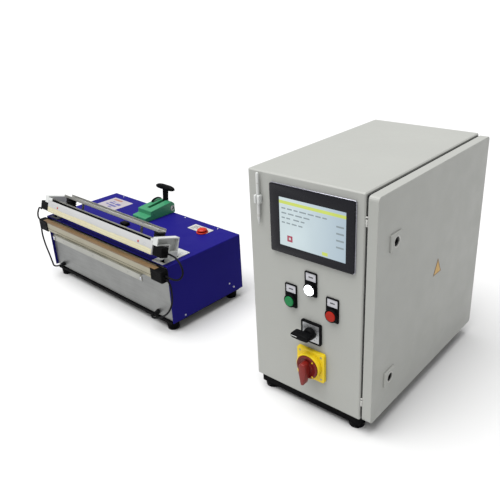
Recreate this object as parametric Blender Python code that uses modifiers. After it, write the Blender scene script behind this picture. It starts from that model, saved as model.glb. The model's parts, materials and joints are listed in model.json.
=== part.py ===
"""Bench impulse heat sealer with its control cabinet.

A blue bench unit carries a fixed lower jaw and an upper jaw on two swinging arms.  A grey
cabinet beside it holds the controls.  Both stand on one surface at Z = 0, and +Y is the rear.
Each unit is written in its own coordinates, from its body's front left corner.
"""
import math

import bmesh
import bpy
from mathutils import Matrix, Vector

MM = 0.001
GAP = 0.3 * MM
ROUND = 24

# Where the two units stand
FOOTPRINT_CENTRE = Vector((616.935 * MM, 226.428 * MM, 0.0))
CABINET_CORNER = Vector((935.3 * MM, -17.4 * MM, 36.0 * MM))
CABINET_TURN = math.radians(2.12)

# Bench unit
WIDTH = 607 * MM
DEPTH = 270 * MM
TOP = 203 * MM
COVER_FOOT = 30 * MM
SHEET = 2 * MM
MIDDLE = WIDTH / 2
PANEL_RECESS = 8 * MM
FOOT_RADIUS = 18 * MM
FOOT_HEIGHT = 20 * MM

# Jaws, with the upper one written as it lies when closed
OPEN_ANGLE = math.radians(17)
ARM_PIVOT = Vector((0, 82 * MM, 173 * MM))
SHAFT_RADIUS = 8 * MM
RUNNING_FIT = 0.35 * MM
TAPE_START = 22 * MM
LOWER_JAW_TOP = 199 * MM
UPPER_JAW_START = 42 * MM
UPPER_JAW_FOOT = 202.3 * MM
UPPER_JAW_TOP = 237 * MM
ARM_THICKNESS = 18 * MM
ARM_WALL = 4 * MM
RAIL_START = 70 * MM
PLATE_THICKNESS = 2 * MM
LEAD_DIAMETER = 5 * MM
GLAND_PLACES = {"left": 44 * MM, "right": 535 * MM}
GLAND_HEIGHT = 42 * MM
BUFFER_PLACES = {"left": 88 * MM, "right": 527 * MM}
CRANK_FOOT = 165 * MM
RAIL_FLOOR = 253 * MM
CROSS_BAR_TOP = 217 * MM
CAP_END = 42 * MM
BUTTON_CENTRE = Vector((510 * MM, 212 * MM, TOP))
BUTTON_BORE = 12 * MM
SOCKET = Vector((470 * MM, DEPTH - 14 * MM, 80 * MM))

# Hand lever
LEVER_PIVOT = Vector((282.5 * MM, 264 * MM, 220 * MM))
HOUSING_HALF = 32.5 * MM
PIN_RADIUS = 5 * MM
SLOT_HALF = 7 * MM

# Cabinet
CABINET_WIDTH = 276 * MM
CABINET_SIDE = 500 * MM
CABINET_SHEET = 2 * MM
DOOR_BACK = 281 * MM
DOOR_FRONT = 302 * MM
HINGE = Vector((284 * MM, 507.5 * MM, 0))
BARREL_RADIUS = 11 * MM
PANEL_HOLE = BARREL_RADIUS + GAP
LENS_RADIUS = 11 * MM
BUTTONS = {
    "white": Vector((157 * MM, 0, 273 * MM)),
    "green": Vector((106 * MM, 0, 231 * MM)),
    "red": Vector((209 * MM, 0, 231 * MM)),
}
SELECTOR = Vector((158 * MM, 0, 172 * MM))
MAIN_SWITCH = Vector((158.5 * MM, 0, 95 * MM))
LOCKS = {
    "upper": Vector((DOOR_FRONT, 67 * MM, 391 * MM)),
    "lower": Vector((DOOR_FRONT, 67 * MM, 84 * MM)),
}
HMI_LOW = Vector((60 * MM, 0, 336 * MM))
HMI_HIGH = Vector((260 * MM, 0, 483 * MM))
SCREEN_LOW = Vector((84 * MM, 0, 355 * MM))
SCREEN_HIGH = Vector((241 * MM, 0, 458 * MM))
STYLUS_X = 30 * MM
GLAND = Vector((90 * MM, CABINET_SIDE, 40 * MM))

# What turns +Z onto each axis
AXIS_TURNS = {
    "X": Matrix.Rotation(math.pi / 2, 4, "Y"),
    "Y": Matrix.Rotation(-math.pi / 2, 4, "X"),
    "Z": Matrix.Identity(4),
}

# Colour, roughness, metallic
FINISHES = {
    "blue_paint": ((0.045, 0.05, 0.42), 0.4, 0.0),
    "green_paint": ((0.05, 0.45, 0.24), 0.35, 0.0),
    "grey_paint": ((0.62, 0.62, 0.59), 0.4, 0.0),
    "light_plate": ((0.75, 0.76, 0.75), 0.4, 0.0),
    "aluminium": ((0.7, 0.71, 0.72), 0.35, 1.0),
    "steel": ((0.5, 0.5, 0.5), 0.3, 1.0),
    "jaw_white": ((0.82, 0.83, 0.85), 0.4, 0.0),
    "cream_fabric": ((0.83, 0.76, 0.55), 0.6, 0.0),
    "brown_fabric": ((0.55, 0.33, 0.13), 0.5, 0.0),
    "band": ((0.6, 0.58, 0.52), 0.3, 1.0),
    "black_plastic": ((0.02, 0.02, 0.022), 0.45, 0.0),
    "rubber": ((0.015, 0.015, 0.015), 0.8, 0.0),
    "red_plastic": ((0.75, 0.03, 0.02), 0.35, 0.0),
    "green_plastic": ((0.02, 0.4, 0.12), 0.3, 0.0),
    "white_plastic": ((0.9, 0.9, 0.92), 0.3, 0.0),
    "yellow_plastic": ((0.95, 0.72, 0.03), 0.35, 0.0),
    "screen": ((0.7, 0.82, 0.88), 0.15, 0.0),
    "copper": ((0.55, 0.25, 0.12), 0.45, 0.6),
}


# ---------------------------------------------------------------- helpers


def clear_scene():
    for obj in list(bpy.data.objects):
        bpy.data.objects.remove(obj, do_unlink=True)


def new_collection(name):
    collection = bpy.data.collections.new(name)
    bpy.context.scene.collection.children.link(collection)
    return collection


clear_scene()
PARTS = new_collection("impulse_heat_sealer")
CUTTERS = new_collection("cutters")
CUTTERS.hide_render = True


def make_finish(name):
    color, roughness, metallic = FINISHES[name]
    material = bpy.data.materials.new(name)
    material.use_nodes = True
    shader = material.node_tree.nodes["Principled BSDF"]
    shader.inputs["Base Color"].default_value = (*color, 1)
    shader.inputs["Roughness"].default_value = roughness
    shader.inputs["Metallic"].default_value = metallic
    return material


def frame(name, location, parent=None, turn=(0, 0, 0), pivot=Vector((0, 0, 0))):
    """An empty.  Its children's shapes are written in its parent's coordinates, as pivot says."""
    empty = bpy.data.objects.new(name, None)
    empty.location = location
    empty.rotation_euler = turn
    empty.parent = parent
    empty["pivot"] = tuple(pivot)
    PARTS.objects.link(empty)
    return empty


def joint(name, pivot, parent, turn=(0, 0, 0)):
    """An empty on a joint's axis: what hangs on it is still written in the unit's coordinates."""
    return frame(name, pivot - Vector(parent["pivot"]), parent, turn, pivot)


def place(name, mesh, parent, finish):
    """The object of a mesh, as a part with a finish, or as a hidden cutter without one."""
    mesh.transform(Matrix.Translation(-Vector(parent["pivot"])))
    obj = bpy.data.objects.new(name, mesh)
    obj.parent = parent
    if finish is None:
        CUTTERS.objects.link(obj)
        obj.hide_render = True
        obj.display_type = "WIRE"
        return obj
    PARTS.objects.link(obj)
    material = make_finish(finish)
    material.name = name
    mesh.materials.append(material)
    return obj


def from_bmesh(name, solid, parent, finish):
    mesh = bpy.data.meshes.new(name)
    solid.to_mesh(mesh)
    solid.free()
    return place(name, mesh, parent, finish)


def add_box(solid, low, high):
    low = Vector(low)
    high = Vector(high)
    size = Matrix.Diagonal((*(high - low), 1))
    bmesh.ops.create_cube(solid, size=1, matrix=Matrix.Translation((low + high) / 2) @ size)


def boxes(name, parent, corners, finish=None):
    """One object of upright boxes, each given by two opposite corners."""
    solid = bmesh.new()
    for low, high in corners:
        add_box(solid, low, high)
    return from_bmesh(name, solid, parent, finish)


def add_cone(solid, start, axis, length, radius, end_radius, segments):
    """A cone or cylinder from start, along +axis."""
    turn = AXIS_TURNS[axis]
    direction = turn.to_3x3() @ Vector((0, 0, 1))
    bmesh.ops.create_cone(
        solid,
        cap_ends=True,
        segments=segments,
        radius1=radius,
        radius2=end_radius,
        depth=length,
        matrix=Matrix.Translation(Vector(start) + direction * length / 2) @ turn,
    )


def cylinders(name, parent, starts, axis, length, radius, finish=None, segments=ROUND, end_radius=None):
    """One object of equal cylinders or cones, each from its start along +axis."""
    solid = bmesh.new()
    for start in starts:
        add_cone(solid, start, axis, length, radius, end_radius or radius, segments)
    obj = from_bmesh(name, solid, parent, finish)
    obj.data.shade_smooth()
    obj.data.set_sharp_from_angle(angle=math.radians(35))
    return obj


def turned(name, parent, starts, axis, profile, finish=None, segments=ROUND):
    """Equal turned solids, each from its start along +axis.

    The profile lists (radius, distance), far end first.
    """
    points = [(0, profile[0][1]), *profile, (0, profile[-1][1])]
    lathe = bmesh.new()
    rim = [lathe.verts.new((radius, 0, distance)) for radius, distance in points]
    edges = [lathe.edges.new(pair) for pair in zip(rim, rim[1:])]
    bmesh.ops.spin(
        lathe, geom=rim + edges, cent=(0, 0, 0), axis=(0, 0, 1), angle=math.tau,
        steps=segments, use_merge=True,
    )
    bmesh.ops.remove_doubles(lathe, verts=lathe.verts, dist=0.00001)
    bmesh.ops.recalc_face_normals(lathe, faces=lathe.faces)
    shape = bpy.data.meshes.new(name + "_lathe")
    lathe.to_mesh(shape)
    lathe.free()

    solid = bmesh.new()
    for start in starts:
        first = len(solid.verts)
        solid.from_mesh(shape)
        solid.verts.ensure_lookup_table()
        where = Matrix.Translation(Vector(start)) @ AXIS_TURNS[axis]
        bmesh.ops.transform(solid, matrix=where, verts=solid.verts[first:])
    bpy.data.meshes.remove(shape)
    obj = from_bmesh(name, solid, parent, finish)
    obj.data.shade_smooth()
    obj.data.set_sharp_from_angle(angle=math.radians(35))
    return obj


def outline_plate(name, parent, outline, plane, start, thickness, finish=None):
    """A flat outline given a thickness.  In plane YZ it runs along +X from start, in XZ along +Y."""
    curve = bpy.data.curves.new(name, "CURVE")
    curve.dimensions = "2D"
    curve.fill_mode = "BOTH"
    curve.extrude = thickness / 2
    spline = curve.splines.new("POLY")
    spline.points.add(len(outline) - 1)
    for point, (across, along) in zip(spline.points, outline):
        point.co = (across, along, 0, 1)
    spline.use_cyclic_u = True
    if plane == "YZ":
        axes = Matrix(((0, 0, 1), (1, 0, 0), (0, 1, 0))).to_4x4()
        shift = Vector((start + thickness / 2, 0, 0))
    else:
        axes = Matrix(((1, 0, 0), (0, 0, -1), (0, 1, 0))).to_4x4()
        shift = Vector((0, start + thickness / 2, 0))
    drawing = bpy.data.objects.new(name + "_outline", curve)
    CUTTERS.objects.link(drawing)
    graph = bpy.context.evaluated_depsgraph_get()
    mesh = bpy.data.meshes.new_from_object(drawing.evaluated_get(graph))
    bpy.data.objects.remove(drawing)
    solid = bmesh.new()
    solid.from_mesh(mesh)
    bmesh.ops.remove_doubles(solid, verts=solid.verts, dist=0.00001)
    bmesh.ops.transform(solid, matrix=Matrix.Translation(shift) @ axes, verts=solid.verts)
    return from_bmesh(name, solid, parent, finish)


def arc(centre, radius, first, last, steps):
    """Points on an arc, from the first to the last angle in degrees."""
    points = []
    for step in range(steps + 1):
        angle = math.radians(first + (last - first) * step / steps)
        points.append((centre[0] + radius * math.cos(angle), centre[1] + radius * math.sin(angle)))
    return points


def rounded_corners(low, high, radius):
    """A rectangle's outline with rounded corners."""
    corners = [
        ((high[0] - radius, high[1] - radius), 0), ((low[0] + radius, high[1] - radius), 90),
        ((low[0] + radius, low[1] + radius), 180), ((high[0] - radius, low[1] + radius), 270),
    ]
    points = []
    for centre, first in corners:
        points += arc(centre, radius, first, first + 90, 4)
    return points


def boolean(obj, other, operation):
    modifier = obj.modifiers.new(operation.lower(), "BOOLEAN")
    modifier.operation = operation
    modifier.solver = "EXACT"
    modifier.object = other
    return obj


def cut(obj, *tools):
    for tool in tools:
        boolean(obj, tool, "DIFFERENCE")
    return obj


def fuse(obj, *operands):
    for operand in operands:
        boolean(obj, operand, "UNION")
    return obj


def bevel(obj, width, segments=1, angle=40):
    modifier = obj.modifiers.new("bevel", "BEVEL")
    modifier.width = width
    modifier.segments = segments
    modifier.limit_method = "ANGLE"
    modifier.angle_limit = math.radians(angle)
    return obj


def smooth_route(points, spacing):
    """Points along a Catmull-Rom curve through the route's own points, about a spacing apart.

    Each end gets a short straight stub, so that the tube's flat ends face what they meet.
    """
    points = [Vector(point) for point in points]
    ends = [2 * points[0] - points[1], *points, 2 * points[-1] - points[-2]]
    fine = []
    for before, start, end, after in zip(ends, ends[1:], ends[2:], ends[3:]):
        for step in range(20):
            t = step / 20
            bend = 2 * before - 5 * start + 4 * end - after
            twist = 3 * start - before - 3 * end + after
            fine.append((2 * start + (end - before) * t + bend * t * t + twist * t ** 3) / 2)
    fine.append(points[-1])
    length = sum((b - a).length for a, b in zip(fine, fine[1:]))
    count = max(2, round(length / spacing))
    route = [fine[0]]
    walked = 0.0
    for a, b in zip(fine, fine[1:]):
        walked += (b - a).length
        if walked >= length * len(route) / count and len(route) < count:
            route.append(b)
    stub = LEAD_DIAMETER
    leaving = points[0] + (points[1] - points[0]).normalized() * stub
    entering = points[-1] + (points[-2] - points[-1]).normalized() * stub
    return [route[0], leaving, *route[1:-1], entering, fine[-1]]


def lead(name, parent, points, finish="rubber"):
    """A free lead: a tube along its route."""
    curve = bpy.data.curves.new(name, "CURVE")
    curve.dimensions = "3D"
    curve.bevel_depth = LEAD_DIAMETER / 2
    curve.bevel_resolution = 2
    curve.use_fill_caps = True
    route = smooth_route(points, 2.5 * LEAD_DIAMETER)
    spline = curve.splines.new("POLY")
    spline.points.add(len(route) - 1)
    for knot, point in zip(spline.points, route):
        knot.co = (*point, 1)
    material = make_finish(finish)
    material.name = name
    curve.materials.append(material)
    obj = bpy.data.objects.new(name, curve)
    obj.parent = parent
    PARTS.objects.link(obj)
    return obj


def opposite(low, high):
    """A box's mirror image in the bench unit's middle plane."""
    return (WIDTH - high[0], *low[1:]), (WIDTH - low[0], *high[1:])


def pair(name, parent, low, high, finish):
    """Two equal boxes, left and right of the bench unit's middle plane."""
    left = boxes(name + "_left", parent, [(low, high)], finish)
    right = boxes(name + "_right", parent, [opposite(low, high)], finish)
    return left, right


# ---------------------------------------------------------------- bench unit, fixed


def arm_slots(margin, low, high):
    """Openings where the arms' legs pass through the top."""
    start = UPPER_JAW_START - ARM_THICKNESS
    slot = ((start - margin, 10 * MM - margin, low), (start + ARM_THICKNESS + margin, 58 * MM + margin, high))
    return [slot, opposite(*slot)]


def build_cover(unit):
    """One folded sheet: the top, both sides and the rear."""
    cover = boxes("sealer_cover", unit, [((0, 0, COVER_FOOT), (WIDTH, DEPTH, TOP))], "blue_paint")
    inside = boxes("cover_inside", unit, [
        ((SHEET, -MM, COVER_FOOT - MM), (WIDTH - SHEET, DEPTH - SHEET, TOP - SHEET)),
    ])
    slots = boxes("cover_arm_slots", unit, arm_slots(3 * MM, TOP - 5 * MM, TOP + MM))
    lever_slot = boxes("cover_lever_slot", unit, [
        (
            (LEVER_PIVOT.x - SLOT_HALF, 228 * MM, TOP - 5 * MM),
            (LEVER_PIVOT.x + SLOT_HALF, 266 * MM, TOP + MM),
        ),
    ])
    button_hole = cylinders(
        "cover_button_hole", unit, [BUTTON_CENTRE - Vector((0, 0, 5 * MM))], "Z", 6 * MM, BUTTON_BORE,
    )
    vents = boxes("rear_vents", unit, [
        ((x * MM, DEPTH - 5 * MM, 120 * MM), ((x + 5) * MM, DEPTH + MM, 165 * MM)) for x in range(70, 170, 14)
    ])
    socket_start = (SOCKET.x, DEPTH - 5 * MM, SOCKET.z)
    socket_hole = cylinders("socket_hole", unit, [socket_start], "Y", 10 * MM, 14 * MM)
    bevel(cover, 1.5 * MM)
    return cut(cover, inside, slots, lever_slot, button_hole, vents, socket_hole)


def build_fixed_sealer(unit):
    build_cover(unit)
    front_panel = boxes("sealer_front_panel", unit, [(
        (SHEET + GAP, PANEL_RECESS, COVER_FOOT + GAP),
        (WIDTH - SHEET - GAP, PANEL_RECESS + SHEET, TOP - SHEET - GAP),
    )], "light_plate")
    holes = [(x, PANEL_RECESS - 3 * MM, GLAND_HEIGHT) for x in GLAND_PLACES.values()]
    cut(front_panel, cylinders("gland_holes", unit, holes, "Y", 10 * MM, 5.5 * MM))
    for side, x in GLAND_PLACES.items():
        turned("lead_gland_" + side, unit, [(x, PANEL_RECESS - 14 * MM, GLAND_HEIGHT)], "Y", [
            (5 * MM, 24 * MM), (5 * MM, 14 * MM - GAP), (7 * MM, 14 * MM - GAP), (7 * MM, 9 * MM),
            (5.6 * MM, 9 * MM), (4.6 * MM, 2 * MM), (3.1 * MM, 0),
        ], "rubber", 16)

    turned("rear_socket", unit, [SOCKET], "Y", [
        (9 * MM, 26 * MM), (13 * MM, 26 * MM), (13 * MM, 17 * MM), (19 * MM, 17 * MM),
        (19 * MM, 14 * MM + GAP), (13 * MM, 14 * MM + GAP), (13 * MM, 0),
    ], "black_plastic")

    base = boxes("sealer_base", unit, [
        ((12 * MM, 3 * MM, FOOT_HEIGHT), (WIDTH - 12 * MM, DEPTH - 4 * MM, COVER_FOOT - GAP)),
    ], "black_plastic")
    feet = [(x, y, 0) for x in (30 * MM, WIDTH - 30 * MM) for y in (22 * MM, 247 * MM)]
    feet = cylinders(
        "sealer_feet", unit, feet, "Z", FOOT_HEIGHT + 4 * MM, FOOT_RADIUS - 2 * MM, None, 20, FOOT_RADIUS,
    )
    fuse(bevel(base, MM), feet)

    build_lower_jaw(unit)
    build_lever_housing(unit)
    build_inside(unit)

    plate_slots = boxes("plate_slots", unit, arm_slots(1.5 * MM, TOP, TOP + 5 * MM))
    plate_low = (18 * MM, 0.5 * MM, TOP + GAP)
    plate_high = (64 * MM, 95 * MM, TOP + GAP + PLATE_THICKNESS)
    for plate in pair("slot_plate", unit, plate_low, plate_high, "light_plate"):
        cut(plate, plate_slots)

    label_plate = boxes("button_plate", unit, [
        ((448 * MM, 208 * MM, TOP + GAP), (528 * MM, 242 * MM, TOP + GAP + 1.2 * MM)),
    ], "light_plate")
    collar = cylinders("button_collar", unit, [BUTTON_CENTRE + Vector((0, 0, GAP))], "Z", 5 * MM, 19 * MM)
    well = cylinders("button_well", unit, [BUTTON_CENTRE - Vector((0, 0, MM))], "Z", 8 * MM, BUTTON_BORE)
    cut(fuse(label_plate, collar), well)


def build_lower_jaw(unit):
    left = CAP_END + GAP
    right = WIDTH - left
    jaw = boxes("lower_jaw", unit, [((left, -24 * MM, 169 * MM), (right, -MM, LOWER_JAW_TOP))], "aluminium")
    grooves = boxes("lower_jaw_grooves", unit, [
        ((left - MM, -26 * MM, 177 * MM), (right + MM, -22.5 * MM, 178.5 * MM)),
        ((left - MM, -9 * MM, LOWER_JAW_TOP - 1.5 * MM), (right + MM, MM, LOWER_JAW_TOP + MM)),
    ])
    cut(bevel(jaw, 0.8 * MM), grooves)
    boxes("lower_heating_band", unit, [
        ((left + 2 * MM, -20 * MM, LOWER_JAW_TOP + GAP), (right - 2 * MM, -14 * MM, LOWER_JAW_TOP + 2 * GAP)),
    ], "band")
    boxes("lower_ptfe_strip", unit, [(
        (TAPE_START, -24.5 * MM, LOWER_JAW_TOP + 3 * GAP),
        (WIDTH - TAPE_START, -9.5 * MM, LOWER_JAW_TOP + 1.4 * MM),
    )], "brown_fabric")
    cap_low = (-5.5 * MM, -26 * MM, 165 * MM)
    cap_high = (CAP_END, -1.3 * MM, LOWER_JAW_TOP)
    for cap in pair("lower_end_cap", unit, cap_low, cap_high, "black_plastic"):
        bevel(cap, 2.5 * MM)
    rail = boxes("jaw_front_bar", unit, [
        ((88 * MM, -31 * MM, 151 * MM), (WIDTH - 80 * MM, -28 * MM, 168.6 * MM)),
    ], "aluminium")
    ledge = boxes("front_bar_ledge", unit, [
        ((88 * MM, -29 * MM, 165.8 * MM), (WIDTH - 80 * MM, PANEL_RECESS - GAP, 168.6 * MM)),
    ])
    end_clamps = boxes("front_bar_clamps", unit, [
        ((82 * MM, -32.5 * MM, 152 * MM), (92 * MM, -29 * MM, 165 * MM)),
        ((WIDTH - 84 * MM, -32.5 * MM, 152 * MM), (WIDTH - 74 * MM, -29 * MM, 165 * MM)),
    ])
    fuse(rail, ledge, end_clamps)


def build_lever_housing(unit):
    """The green block: a low front step, a main body that rises to the rear, and a slot for the lever."""
    left = LEVER_PIVOT.x - HOUSING_HALF
    foot = TOP + GAP
    profile = [
        (155 * MM, foot), (274 * MM, foot), (274 * MM, 232 * MM), (266 * MM, 240 * MM), (258 * MM, 241 * MM),
        (180 * MM, 233 * MM), (178 * MM, 219 * MM), (156 * MM, 217 * MM),
    ]
    housing = outline_plate("lever_housing", unit, profile, "YZ", left, 2 * HOUSING_HALF, "green_paint")
    bevel(housing, 4 * MM, 2, 60)
    slot = boxes("housing_slot", unit, [
        ((LEVER_PIVOT.x - SLOT_HALF, 196 * MM, 225 * MM), (LEVER_PIVOT.x + SLOT_HALF, 275 * MM, 250 * MM)),
    ])
    well = boxes("housing_well", unit, [
        ((LEVER_PIVOT.x - SLOT_HALF, 226 * MM, foot - MM), (LEVER_PIVOT.x + SLOT_HALF, 272.5 * MM, 226 * MM)),
    ])
    bore_start = (left - MM, LEVER_PIVOT.y, LEVER_PIVOT.z)
    bore = cylinders("housing_bore", unit, [bore_start], "X", 70 * MM, PIN_RADIUS + RUNNING_FIT)
    front_hole = cylinders("housing_front_hole", unit, [(275 * MM, 150 * MM, 211 * MM)], "Y", 15 * MM, 3 * MM)
    return cut(housing, slot, well, bore, front_hole)


def build_inside(unit):
    """The frame with the shaft's bearings, the return spring and the holding magnet, under the cover."""
    low = COVER_FOOT
    side_low = (SHEET + GAP, ARM_PIVOT.y - 18 * MM, low)
    side_high = (14 * MM, ARM_PIVOT.y + 18 * MM, 191 * MM)
    inner_frame = boxes("inner_frame", unit, [(side_low, side_high)], "steel")
    other_side = boxes("inner_frame_side", unit, [opposite(side_low, side_high)])
    cross_tie = boxes("inner_frame_tie", unit, [
        ((10 * MM, ARM_PIVOT.y - 15 * MM, low), (WIDTH - 10 * MM, ARM_PIVOT.y + 15 * MM, low + 8 * MM)),
    ])
    bores = cylinders(
        "bearing_bores", unit, [(0, ARM_PIVOT.y, ARM_PIVOT.z)], "X", WIDTH, SHAFT_RADIUS + RUNNING_FIT,
    )
    cut(fuse(inner_frame, other_side, cross_tie), bores)

    spring = cylinders(
        "return_spring", unit, [(60 * MM, ARM_PIVOT.y, ARM_PIVOT.z)], "X", 40 * MM, 13 * MM, "steel",
    )
    core = cylinders("spring_core", unit, [(50 * MM, ARM_PIVOT.y, ARM_PIVOT.z)], "X", 60 * MM, 9.5 * MM)
    cut(spring, core)

    bevel(boxes("holding_magnet", unit, [
        ((MIDDLE - 20 * MM, 20 * MM, COVER_FOOT), (MIDDLE + 20 * MM, 58 * MM, CRANK_FOOT - 0.8 * MM)),
    ], "copper"), 2 * MM)


# ---------------------------------------------------------------- bench unit, swinging jaw


def arm_outline():
    """The arm's side view, closed: a beam from the jaw, a leg through the cover and a lever to the hub."""
    hub = (ARM_PIVOT.y, ARM_PIVOT.z)
    return [
        (-28 * MM, 229 * MM), (14 * MM, 229 * MM), (14 * MM, 207 * MM),
        (19 * MM, 207 * MM), (19 * MM, 179 * MM), (50 * MM, 179 * MM),
        *arc(hub, 13 * MM, -120, 60, 12), (46 * MM, 192 * MM), (46 * MM, 250 * MM), (-28 * MM, 250 * MM),
    ]


def build_arm(name, arm, start, pocket_start):
    plate = outline_plate(name, arm, arm_outline(), "YZ", start, ARM_THICKNESS, "light_plate")
    rim = 3 * MM
    pocket_end = pocket_start + ARM_THICKNESS
    beam_pocket = boxes(name + "_beam_pocket", arm, [
        ((pocket_start, -24 * MM, 229 * MM + rim), (pocket_end, 46 * MM - rim, 250 * MM - rim)),
    ])
    leg_pocket = boxes(name + "_leg_pocket", arm, [
        ((pocket_start, 14 * MM + rim, 212 * MM), (pocket_end, 46 * MM - rim, 236 * MM)),
    ])
    centre = (start - MM, ARM_PIVOT.y, ARM_PIVOT.z)
    bore = cylinders(name + "_bore", arm, [centre], "X", ARM_THICKNESS + 2 * MM, SHAFT_RADIUS + RUNNING_FIT)
    return cut(plate, beam_pocket, leg_pocket, bore)


def build_sealing_arm(unit):
    arm = joint("sealing_arm_axis", ARM_PIVOT, unit, (-OPEN_ANGLE, 0, 0))
    left = UPPER_JAW_START
    right = WIDTH - UPPER_JAW_START

    shaft = cylinders(
        "pivot_shaft", arm, [(4 * MM, ARM_PIVOT.y, ARM_PIVOT.z)], "X", WIDTH - 8 * MM, SHAFT_RADIUS, "steel",
    )
    crank = boxes("shaft_crank", arm, [
        ((MIDDLE - 16 * MM, 22 * MM, CRANK_FOOT), (MIDDLE + 16 * MM, ARM_PIVOT.y, CRANK_FOOT + 6 * MM)),
    ])
    fuse(shaft, crank)
    build_arm("arm_left", arm, left - ARM_THICKNESS, left - ARM_THICKNESS - ARM_WALL)
    build_arm("arm_right", arm, right, right + ARM_WALL)

    shelf = UPPER_JAW_TOP - 8 * MM
    lip = UPPER_JAW_TOP + 6 * MM
    outside = [
        (-28 * MM, UPPER_JAW_FOOT), (-5 * MM, UPPER_JAW_FOOT), (-5 * MM, 214 * MM), (-24 * MM, 214 * MM),
        (-24 * MM, shelf), (-14 * MM, shelf), (-14 * MM, lip), (-17 * MM, lip),
        (-17 * MM, shelf + 3 * MM), (-24 * MM, shelf + 3 * MM), (-24 * MM, UPPER_JAW_TOP),
        (-28 * MM, UPPER_JAW_TOP),
    ]
    outline_plate("upper_jaw", arm, outside, "YZ", left + GAP, right - left - 2 * GAP, "jaw_white")
    boxes("upper_heating_band", arm, [
        (
            (left + 2 * MM, -20 * MM, UPPER_JAW_FOOT - 2 * GAP),
            (right - 2 * MM, -14 * MM, UPPER_JAW_FOOT - GAP),
        ),
    ], "band")
    wrap = boxes("upper_ptfe_cover", arm, [
        ((left + 2 * MM, -28.9 * MM, UPPER_JAW_FOOT - 1.4 * MM), (right - 2 * MM, -4.1 * MM, 218 * MM)),
    ], "cream_fabric")
    cut(wrap, boxes("ptfe_cover_inside", arm, [
        ((left - MM, -28 * MM - GAP, UPPER_JAW_FOOT - 3 * GAP), (right + MM, -5 * MM + GAP, 220 * MM)),
    ]))
    low = UPPER_JAW_FOOT - 1.3 * MM
    high = 229 * MM - GAP
    bevel(boxes("upper_end_cap_left", arm, [
        ((-4 * MM, -26 * MM, low), (left - GAP, -2 * MM, high)),
    ], "black_plastic"), 2.5 * MM)
    bevel(boxes("upper_end_cap_right", arm, [
        ((right + GAP, -26 * MM, low), (WIDTH - 5 * MM, -2 * MM, high)),
    ], "black_plastic"), 2.5 * MM)

    bar = boxes("arm_cross_bar", arm, [
        ((left + GAP, 15 * MM, 211 * MM), (right - GAP, 35 * MM, CROSS_BAR_TOP)),
    ], "steel")
    post_feet = [(x, 24 * MM, 213 * MM) for x in (155 * MM, WIDTH - 158 * MM)]
    post_height = RAIL_FLOOR - GAP - post_feet[0][2]
    posts = cylinders("rail_posts", arm, post_feet, "Z", post_height, 4 * MM, None, 16)
    fuse(bar, posts)

    bellows_height = RAIL_FLOOR - CROSS_BAR_TOP - 2 * GAP
    folds = 5
    fold = bellows_height / folds
    bellows_profile = []
    for ring in range(folds):
        height = bellows_height - ring * fold
        bellows_profile += [
            (13 * MM, height), (16 * MM, height - 0.25 * fold), (16 * MM, height - 0.65 * fold),
        ]
    bellows_profile += [(13 * MM, 0)]
    for side, x in BUFFER_PLACES.items():
        foot = (x, 24 * MM, CROSS_BAR_TOP + GAP)
        turned("rail_buffer_" + side, arm, [foot], "Z", bellows_profile, "rubber", 16)

    wall = 1.8 * MM
    rail = boxes("arm_rail", arm, [
        ((RAIL_START, 9 * MM, RAIL_FLOOR), (WIDTH - RAIL_START, 37 * MM, 262 * MM)),
    ], "aluminium")
    cut(rail, boxes("rail_channel", arm, [(
        (RAIL_START - MM, 9 * MM + wall, RAIL_FLOOR + wall),
        (WIDTH - RAIL_START + MM, 37 * MM - wall, 264 * MM),
    )]))
    return arm


# ---------------------------------------------------------------- bench unit, hand lever and button


def build_hand_lever(unit):
    """A T-handle on a cross pin."""
    lever = joint("hand_lever_axis", LEVER_PIVOT, unit)
    x, y, z = LEVER_PIVOT
    pin_start = (x - HOUSING_HALF + 2 * MM, y, z)
    handle = cylinders(
        "hand_lever", lever, [pin_start], "X", 2 * HOUSING_HALF - 4 * MM, PIN_RADIUS, "black_plastic",
    )
    hub = cylinders("lever_hub", lever, [(x - 6 * MM, y, z)], "X", 12 * MM, 8 * MM)
    stem = bevel(outline_plate("lever_stem", lever, [
        (y - 6.5 * MM, z), (y + 7.5 * MM, z), (y + 9.5 * MM, z + 30 * MM), (y + 13 * MM, z + 52 * MM),
        (y + 15 * MM, z + 60 * MM), (y - 4 * MM, z + 60 * MM), (y - 3 * MM, z + 52 * MM),
        (y - 5 * MM, z + 30 * MM),
    ], "YZ", x - 6 * MM, 12 * MM), 1.5 * MM)
    neck = boxes("lever_neck", lever, [
        ((x - 11 * MM, y - 2 * MM, z + 47 * MM), (x + 11 * MM, y + 13 * MM, z + 58 * MM)),
    ])
    grip = bevel(boxes("lever_grip", lever, [
        ((x - 44 * MM, y - 5 * MM, z + 53 * MM), (x + 44 * MM, y + 15 * MM, z + 70 * MM)),
    ]), 7 * MM, 2)
    return fuse(handle, hub, stem, bevel(neck, 4 * MM), grip)


def build_lever_catch(unit):
    """A curved leaf on the green block, beside the slot, that the stem snaps behind."""
    top = [(226, 240), (231, 244.5), (240, 248), (251, 248.8), (260, 246.5), (264, 242.5)]
    foot = [(262, 241.5), (258, 243.8), (250, 246), (241, 245.3), (232, 241.8), (228, 238.8)]
    outline = [(y * MM, z * MM) for y, z in top + foot]
    return outline_plate("lever_catch", unit, outline, "YZ", 257 * MM, 8 * MM, "black_plastic")


def build_sealer_button(unit):
    button = joint("sealer_button_axis", BUTTON_CENTRE, unit)
    return turned("sealer_button", button, [BUTTON_CENTRE - Vector((0, 0, 12 * MM))], "Z", [
        (11 * MM, 25 * MM), (14 * MM, 24 * MM), (15 * MM, 22 * MM), (15 * MM, 20 * MM),
        (10 * MM, 19.5 * MM), (10 * MM, 0),
    ], "red_plastic")


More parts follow.
